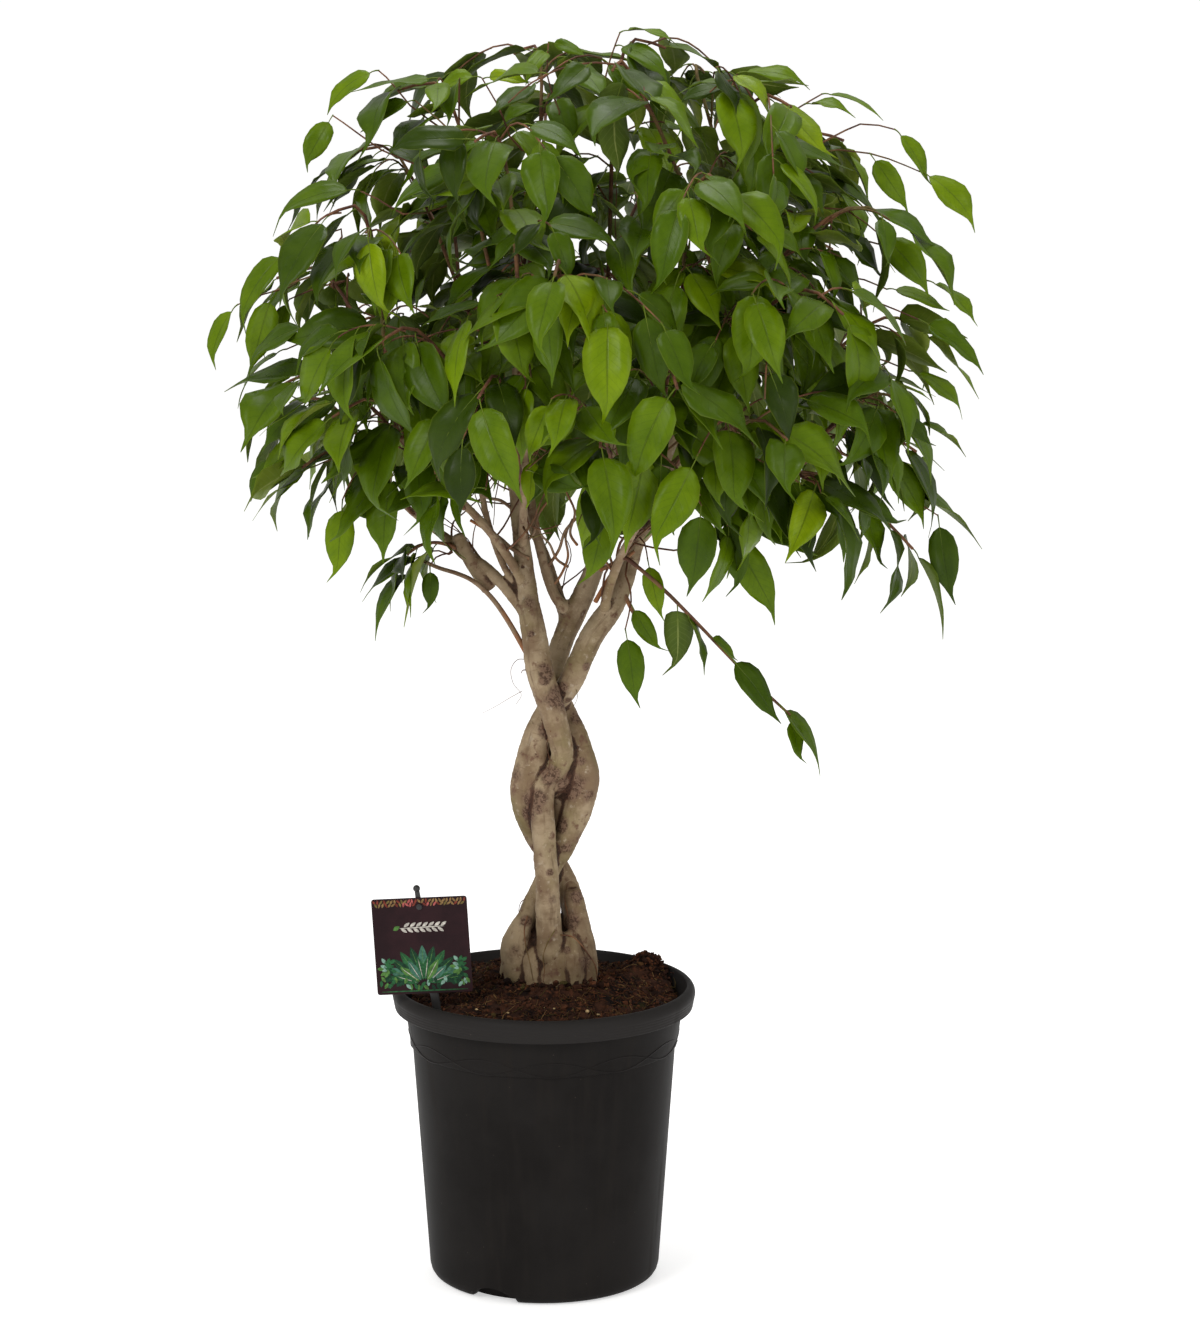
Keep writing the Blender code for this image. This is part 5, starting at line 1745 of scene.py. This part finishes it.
# Leaves that make the crown's outline: the stalk's start and the tip in mm, how much the blade faces
# front, its arch and its tone
outerLeaves = (
    ((-138, -30, 1072), (-183, -30, 1036), 0.35, 1.1, 0.75),
    ((-176, -50, 1035), (-200, -50, 988), 0.75, 0.9, 0.60),
    ((-106, -60, 1048), (-150, -60, 1017), 0.40, 1.1, 0.35),
    ((-49, -20, 1065), (-9, -20, 1059), 0.55, 1.2, 0.99),
    ((-52, -20, 1066), (-94, -20, 1047), 0.35, 1.2, 0.75),
    ((6, 0, 1095), (43, 0, 1083), 0.60, 0.8, 0.50),
    ((6, 0, 1088), (-14, -34, 1060), 0.50, 0.9, 0.60),
    ((-154, -40, 971), (-231, -40, 944), 0.35, 1.0, 0.50),
    ((67, 0, 1103), (117, 0, 1091), 0.15, 1.2, 0.70),
    ((64, 0, 1092), (112, -40, 1062), 0.40, 1.0, 0.45),
    ((167, -20, 1069), (229, -20, 1055), 0.30, 1.0, 0.70),
    ((240, 0, 1051), (293, 0, 1029), 0.10, 0.8, 0.75),
    ((224, -20, 1043), (268, -20, 1032), 0.15, 0.8, 0.70),
    ((303, 0, 1021), (330, 0, 970), 0.30, 0.9, 0.75),
    ((325, 0, 985), (374, 0, 933), 0.40, 1.1, 0.85),
    ((280, -30, 1002), (315, -30, 951), 0.90, 0.7, 0.70),
    ((288, -30, 934), (336, -30, 883), 0.60, 0.9, 0.65),
    ((331, -20, 893), (374, -20, 851), 0.20, 0.9, 0.70),
    ((310, 0, 713), (384, 0, 660), 0.10, 0.5, 0.50),
    ((343, -24, 690), (353, -27, 611), 0.95, 0.35, 0.22),
    ((-172, -40, 706), (-178, -40, 633), 1.00, 0.3, 0.82),
    ((162, -60, 681), (207, -60, 603), 0.90, 0.4, 0.62),
    ((172, -60, 700), (235, -60, 656), 0.40, 0.6, 0.50),
    ((58, -100, 712), (37, -104, 640), 0.95, 0.5, 0.66),
    ((-7, -100, 752), (-9, -104, 706), 1.00, 0.3, 0.93),
    ((91, -50, 656), (102, -52, 600), 0.95, 0.5, 0.86),
    ((77, -20, 612), (101, -22, 565), 0.80, 0.4, 0.55),
    ((72, -30, 591), (85, -32, 521), 0.85, 0.5, 0.45),
    ((-98, -20, 645), (-96, -22, 604), 0.60, 0.4, 0.30),
    ((-112, 0, 641), (-148, 0, 576), 0.15, 0.7, 0.45),
    ((-103, 0, 651), (-159, 0, 612), 0.25, 0.8, 0.35),
)
# More of them at the crown's sides, seen edge-on, each on a short twig of its own
edgeLeaves = (
    ((-217, -24, 920), (-262, -24, 852), 0.40, 1.0, 0.60),
    ((-262, -16, 872), (-284, -16, 817), 0.20, 0.9, 0.72),
    ((-230, -36, 885), (-249, -36, 812), 0.60, 0.5, 0.66),
    ((-221, -10, 833), (-264, -10, 782), 0.12, 1.1, 0.52),
    ((-201, -28, 826), (-243, -28, 783), 0.25, 1.0, 0.62),
    ((-209, -48, 807), (-255, -48, 749), 0.30, 0.9, 0.60),
    ((-196, -16, 788), (-243, -16, 742), 0.30, 0.9, 0.40),
    ((-192, -44, 762), (-248, -44, 722), 0.55, 0.8, 0.70),
    ((-231, -12, 741), (-251, -12, 698), 0.25, 1.2, 0.30),
    ((-198, -30, 733), (-251, -30, 686), 0.12, 0.6, 0.58),
    ((-218, -8, 876), (-230, -8, 836), 0.50, 0.8, 0.74),
    ((323, -36, 861), (379, -36, 813), 0.45, 0.7, 0.45),
    ((317, -18, 815), (364, -18, 774), 0.30, 1.1, 0.66),
    ((297, -40, 807), (320, -40, 770), 0.20, 0.8, 0.55),
    ((323, -8, 771), (368, -8, 741), 0.10, 0.5, 0.60),
    ((294, -34, 746), (335, -34, 683), 0.60, 0.8, 0.56),
    ((297, -12, 885), (351, -12, 862), 0.30, 0.9, 0.74),
)
# The twigs that carry the outline's leaves, from the crown outwards, in mm
outerTwigs = (
    ((-60, -28, 1006), (-86, -30, 1024), (-111, -40, 1043), (-127, -30, 1062), (-138, -30, 1072)),
    ((-78, -45, 985), (-103, -50, 993), (-135, -50, 1006), (-160, -50, 1024), (-176, -50, 1035)),
    ((-60, -60, 1006), (-84, -60, 1030), (-106, -60, 1048)),
    ((-24, -10, 1010), (-35, -20, 1038), (-45, -20, 1056), (-51, -20, 1066)),
    ((16, 0, 1030), (5, 0, 1064), (6, 0, 1095)),
    ((-110, -35, 950), (-137, -40, 963), (-154, -40, 971)),
    ((50, 0, 1040), (58, 0, 1078), (67, 0, 1103)),
    ((146, -15, 1010), (158, -20, 1048), (167, -20, 1069)),
    ((180, -10, 1005), (204, -20, 1030), (224, -18, 1043), (240, 0, 1051)),
    ((222, 0, 1000), (252, -4, 1016), (276, 0, 1026), (303, 0, 1021)),
    ((200, 0, 990), (240, -14, 1004), (280, -28, 1002), (304, -14, 994), (325, 0, 985)),
    ((210, -25, 950), (255, -30, 956), (288, -30, 934)),
    ((240, -20, 930), (280, -20, 928), (310, -20, 912), (331, -20, 893)),
    ((255, -10, 745), (290, -10, 730), (310, 0, 713)),
    ((255, -14, 748), (288, -18, 727), (318, -22, 706), (343, -24, 690)),
    ((-140, -30, 748), (-160, -38, 730), (-172, -40, 706)),
    ((80, -40, 668), (104, -54, 664), (133, -62, 668), (162, -60, 681), (172, -60, 700)),
    ((30, -70, 735), (42, -95, 732), (58, -100, 712)),
    ((-4, -70, 765), (-6, -96, 768), (-7, -100, 752)),
    ((80, -30, 676), (88, -44, 670), (91, -50, 656)),
    ((72, -14, 640), (76, -18, 626), (77, -20, 612), (72, -30, 591)),
    ((-80, -4, 655), (-92, -10, 652), (-98, -20, 645)),
    ((-80, 0, 652), (-94, 0, 656), (-103, 0, 651), (-112, 0, 641)),
)
# The stray spray's own leaves, larger at its start
strayLeaves = (
    ((115, -20, 627), (119, -26, 549), 0.09, 0.5, 0.20),
    ((126, -40, 617), (141, -42, 553), 0.15, 0.5, 0.30),
    ((146, -30, 592), (169, -32, 560), 0.35, 0.5, 0.55),
    ((158, -30, 572), (209, -32, 508), 0.38, 0.3, 0.30),
    ((204, -30, 525), (245, -32, 464), 0.16, 0.4, 0.52),
    ((214, -30, 515), (223, -32, 470), 0.16, 0.3, 0.50),
)


def handLeaf(start, tip, facing, arch):
    # A leaf on an arc from its stalk's start to its tip
    start, tip = Vector(start) * mm, Vector(tip) * mm
    chord = (tip - start).normalized()
    face = up * (1 - facing) - Vector((0, 1, 0)) * facing
    normal = (face - chord * face.dot(chord)).normalized()
    half = arch / 2
    ahead = chord * math.cos(half) + normal * math.sin(half)
    raised = normal * math.cos(half) - chord * math.sin(half)
    return start, ahead, raised, (tip - start).length * half / math.sin(half), half, 0.0


def crownLevel(point):
    # 1 on the crown's surface, less inside
    offset = point - crown["centre"]
    tall = crown["rise"] if offset.z > 0 else crown["hang"] / abs(crown["lowest"])
    out = math.hypot(offset.x, offset.y) / crown["reach"]
    power = crown["squareness"]
    return (out**power + abs(offset.z / tall) ** power) ** (1 / power)


def insideBox(points):
    low, high = cadBox
    spare = foliage["spare"]
    return all(low[a] - spare < p[a] < high[a] + spare for p in points for a in range(3))


def hidesLimbs(point):
    (left, right), (low, high) = limbWindow["x"], limbWindow["z"]
    return left < point.x < right and low < point.z < high and point.y < limbWindow["y"]


def grows(height, rng):
    # Fewer side twigs low in the crown
    rise = (height - foliage["lowestTwig"]) / (foliage["fullHeight"] - foliage["lowestTwig"])
    return rise > 0 and rng.random() < foliage["lowShare"] + (1 - foliage["lowShare"]) * rise


def twigPath(stem, share, flip, rng, inner=False):
    start, ahead = along(stem, share)
    outward = (start - (crown["centre"] - up * 0.12)).normalized()
    side = ahead.cross(up).normalized() * flip
    stray = scatter(rng, 0.6 if inner else 0.30)
    leave = (ahead * 0.45 + side * 0.8 + outward * 0.45 + stray).normalized()
    length = rng.uniform(*foliage["twigLength"])
    end = start + leave * length - up * length * rng.uniform(0.15, 0.65)
    return interpolate_bezier(start, start + leave * length * 0.4 + up * length * 0.12,
                              end - (leave - up) * length * 0.22, end, 6)


def growTwigLeaves(path, slim, placed, longOnes, rng):
    leaves = []
    count = rng.randint(*foliage["twigLeaves"])
    for k in range(count):
        share = 0.25 + (growth["lastLeaf"] - 0.25) * k / (count - 1)
        size = rng.uniform(*foliage["leafSize"])
        for trial in range(foliage["leafTries"]):
            leaf = leafFrame(path, share, 1 if k % 2 else -1, rng, trial, size)
            middle = leaf[0] + leaf[1] * leaf[3] * 0.5
            left, right, _, _, tip = leafPoints(leaf)
            tooLow = tip.z < foliage["lowestTwig"] - foliage["leafHang"]
            tooHigh = crownLevel(middle) > foliage["topLevels"][2]
            if tooLow or tooHigh or hidesLimbs(tip) or not insideBox([tip, left[1], right[1]]):
                continue
            low, high, reach = foliage["fullPart"]
            outside = not low < middle.z < high or abs(middle.x - crown["centre"].x) > reach
            if outside and rng.random() < foliage["thinning"]:
                break
            bare = treeOf(plainLeaf(leaf, 0.2 * mm, stalk=False))
            near = [t for c, t in placed if (c - middle).length < foliage["leafNearby"]]
            if overlaps(bare, near + longOnes + [slim]):
                continue
            leaves.append(leaf)
            placed.append((middle, treeOf(plainLeaf(leaf))))
            break
    return leaves


def tryTwig(line, share, rng, placed, longOnes, own, inner=False):
    path = twigPath(line, share, rng.choice((-1, 1)), rng, inner)
    if crownLevel(path[-1]) > foliage["topLevels"][inner] or hidesLimbs(path[-1]) or not insideBox(path):
        return None
    near = [t for c, t in placed if (c - path[2]).length < foliage["nearby"]]
    slim = treeOf(plainTube(path[1:], [1.2 * mm] * 5, 3))
    if overlaps(slim, near + [t for t in longOnes if t is not own]):
        return None
    leaves = growTwigLeaves(path, slim, placed, longOnes, rng)
    if len(leaves) < 2:
        return None
    longOnes.append(slim)
    return path, leaves


def dressCrown(stems, limbs, placed, obstacles):
    # Side twigs for each stem, then twigs that fill the inside of the upper crown
    rng = random.Random(foliage["seed"])
    longOnes = list(obstacles)
    stemTrees = obstacles[-len(stems):]
    twigsOf = []
    for number, stem in enumerate(stems):
        twigs = []
        for k in range(foliage["twigsPerStem"]):
            share = min(0.95, max(0.12, (k + rng.random()) / foliage["twigsPerStem"]))
            if number < len(trailers) or not grows(along(stem[0], share)[0].z, rng):
                continue
            for _ in range(foliage["twigTries"]):
                twig = tryTwig(stem[0], share, rng, placed, longOnes, stemTrees[number])
                if twig:
                    twigs.append(twig)
                    break
        twigsOf.append(twigs)
    inner = []
    for _ in range(foliage["innerTwigs"]):
        index = rng.randrange(len(limbs))
        share = rng.uniform(0.3, 1.0)
        if along(limbs[index][0], share)[0].z < foliage["innerHeight"]:
            continue
        twig = tryTwig(limbs[index][0], share, rng, placed, longOnes, obstacles[index], inner=True)
        if twig:
            inner.append(twig)
    return twigsOf, inner


def stemLine(points, radii, count):
    # A smooth line through the solid's own points, with its root sunk in the wood
    root = points[0] - (points[1] - points[0]).normalized() * 2 * mm
    coarse = [(*root, radii[0])] + [(*p, r) for p, r in zip(points, radii)]
    return [tuple(p) for p in smoothPath(coarse, count)]


def twigLine(path):
    return stemLine(path, taper(*foliage["twigRadius"], len(path)), 10)


def makeFoliage(name, lines, leaves, nodes, rng):
    # leaves are (leaf, tone), where a tone of None is drawn
    bm = bmesh.new()
    bm.loops.layers.uv.new("leafMap")
    layers = {"tone": bm.verts.layers.float.new("tone"), "facing": bm.verts.layers.float_vector.new("facing")}
    blades, stalks = [], []
    for leaf, tone in leaves:
        character = leafCharacter(rng)
        if tone is not None:
            character.update(tone=tone, curl=0.0, width=character["width"] * 0.9)
        blades += addBlade(bm, layers, leaf, character)
        stalks.append(stalkLine(leaf, character))
    # Both sides of a thin warped blade have to be split along the same diagonals
    blades = bmesh.ops.triangulate(bm, faces=blades)["faces"]
    bmesh.ops.solidify(bm, geom=blades, thickness=leafLook["thickness"])
    bmesh.ops.recalc_face_normals(bm, faces=bm.faces)
    for face in bm.faces:
        top = face.normal.dot(face.verts[0][layers["facing"]]) > 0
        face.material_index = 1 if top else 2
    bm.verts.layers.float_vector.remove(layers["facing"])
    addMesh(bm, tubeMesh(lines, 1), 0)
    stalkFaces = addMesh(bm, tubeMesh(stalks, 0), 2)
    tone = bm.verts.layers.float["tone"]
    for face in stalkFaces:
        for vert in face.verts:
            vert[tone] = leafLook["stalkTone"]
    addPiece(name, bm, [twigMaterial, leafTop, leafUnder], "leaf", nodes)
    return len(leaves)


def nearestStem(point, lines):
    spots = [p for line in lines for p in (along(line, i / 12)[0] for i in range(13))]
    return min(spots, key=lambda p: (p - point).length)


def makeOuterSpray(stems, limbs, leaves, rng):
    lines, paths = [], []
    for twig in outerTwigs:
        path = [Vector(p) * mm for p in twig]
        paths.append(path)
    for leaf in edgeLeaves:
        start = Vector(leaf[0]) * mm
        inward = (crown["centre"] - start).xy.to_3d().normalized()
        paths.append([start + inward * 48 * mm + up * 16 * mm, start + inward * 22 * mm + up * 9 * mm, start])
    for path in paths:
        root = nearestStem(path[0], [s[0] for s in stems] + [l[0] for l in limbs])
        lines.append(twigLine([root] + path))
    return makeFoliage("outer_spray", lines, leaves, [], rng)


def makeBareTwigs(limbs, placed):
    # Fine wandering twigs from the limbs, clear of the leaves
    rng = random.Random(foliage["seed"] + 1)
    lines = []
    for _ in range(foliage["bareTwigs"]):
        points, _ = rng.choice(limbs)
        spot, ahead = along(points, rng.uniform(0.05, 1.0))
        heading = (ahead * 0.6 + scatter(rng, 0.7) + up * 0.3).normalized()
        length = rng.uniform(0.04, 0.15)
        path = [spot]
        for _ in range(7):
            heading = (heading + scatter(rng, 0.22)).normalized()
            path.append(path[-1] + heading * length / 7)
        if crownLevel(path[-1]) > 0.9 or path[-1].z < 0.60:
            continue
        slim = treeOf(plainTube(path[1:], [0.8 * mm] * 7, 3))
        near = [t for c, t in placed if (c - path[4]).length < foliage["nearby"] + 0.03]
        if overlaps(slim, near):
            continue
        thick = rng.uniform(0.7, 1.5) * mm
        coarse = [(*p, thick * (1 - 0.6 * i / 7)) for i, p in enumerate(path)]
        lines.append([tuple(p) for p in smoothPath(coarse, 16)])
    addTubes("bare_twigs", lines, 0, twigMaterial)


def leafSpot(leaf):
    return leaf[0] + leaf[1] * leaf[3] * 0.5, treeOf(plainLeaf(leaf))


def makeCrown():
    paths = trunkPaths()
    limbs = limbPaths(paths, growth["limbRings"])
    stems, obstacles = growStems(limbs, paths)
    sprays = growLeaves(stems, obstacles)
    stray = [along(stems[0][0], i / 40)[0] for i in range(41)]
    first = []
    for start, tip, facing, arch, tone in strayLeaves:
        seat = min(stray, key=lambda p: (p - Vector(start) * mm).length)
        first.append((handLeaf(seat / mm, tip, facing, arch), tone))
    outer = [(handLeaf(*leaf[:4]), leaf[4]) for leaf in outerLeaves + edgeLeaves]
    dressed = [first] + [[(leaf, None) for leaf in leaves] for leaves in sprays[1:]]
    for leaves in dressed:
        leaves[:] = [(leaf, tone) for leaf, tone in leaves if not hidesLimbs(leaf[0] + leaf[1] * leaf[3])]
    placed = [leafSpot(leaf) for leaves in dressed + [outer] for leaf, _ in leaves]
    twigsOf, inner = dressCrown(stems, limbs, placed, obstacles)
    rng = random.Random(foliage["seed"] + 2)
    counts = [makeOuterSpray(stems, limbs, outer, rng)]
    for number, (stem, leaves, twigs) in enumerate(zip(stems, dressed, twigsOf), 1):
        lines = [stemLine(*stem[:2], foliage["stemPoints"])] + [twigLine(path) for path, _ in twigs]
        every = leaves + [(leaf, None) for _, twigLeaves in twigs for leaf in twigLeaves]
        name = f"{number:02d}"
        counts.append(makeFoliage("spray_" + name, lines, every, ["leafy_spray_" + name], rng))
    lines = [twigLine(path) for path, _ in inner]
    every = [(leaf, None) for _, twigLeaves in inner for leaf in twigLeaves]
    counts.append(makeFoliage("inner_spray", lines, every, [], rng))
    print("leaves", sum(counts))
    makeBareTwigs(limbs, placed)


setStudio()
makePot()
makeSoil()
makeLooseBits()
makeLabel()
makeStake()
twigMaterial = plainFinish("twigBark")
leafTop, leafUnder = leafMaterial("leafTop"), leafMaterial("leafUnder")
makeRoots(makeWood(barkMaterial()))
makeCrown()
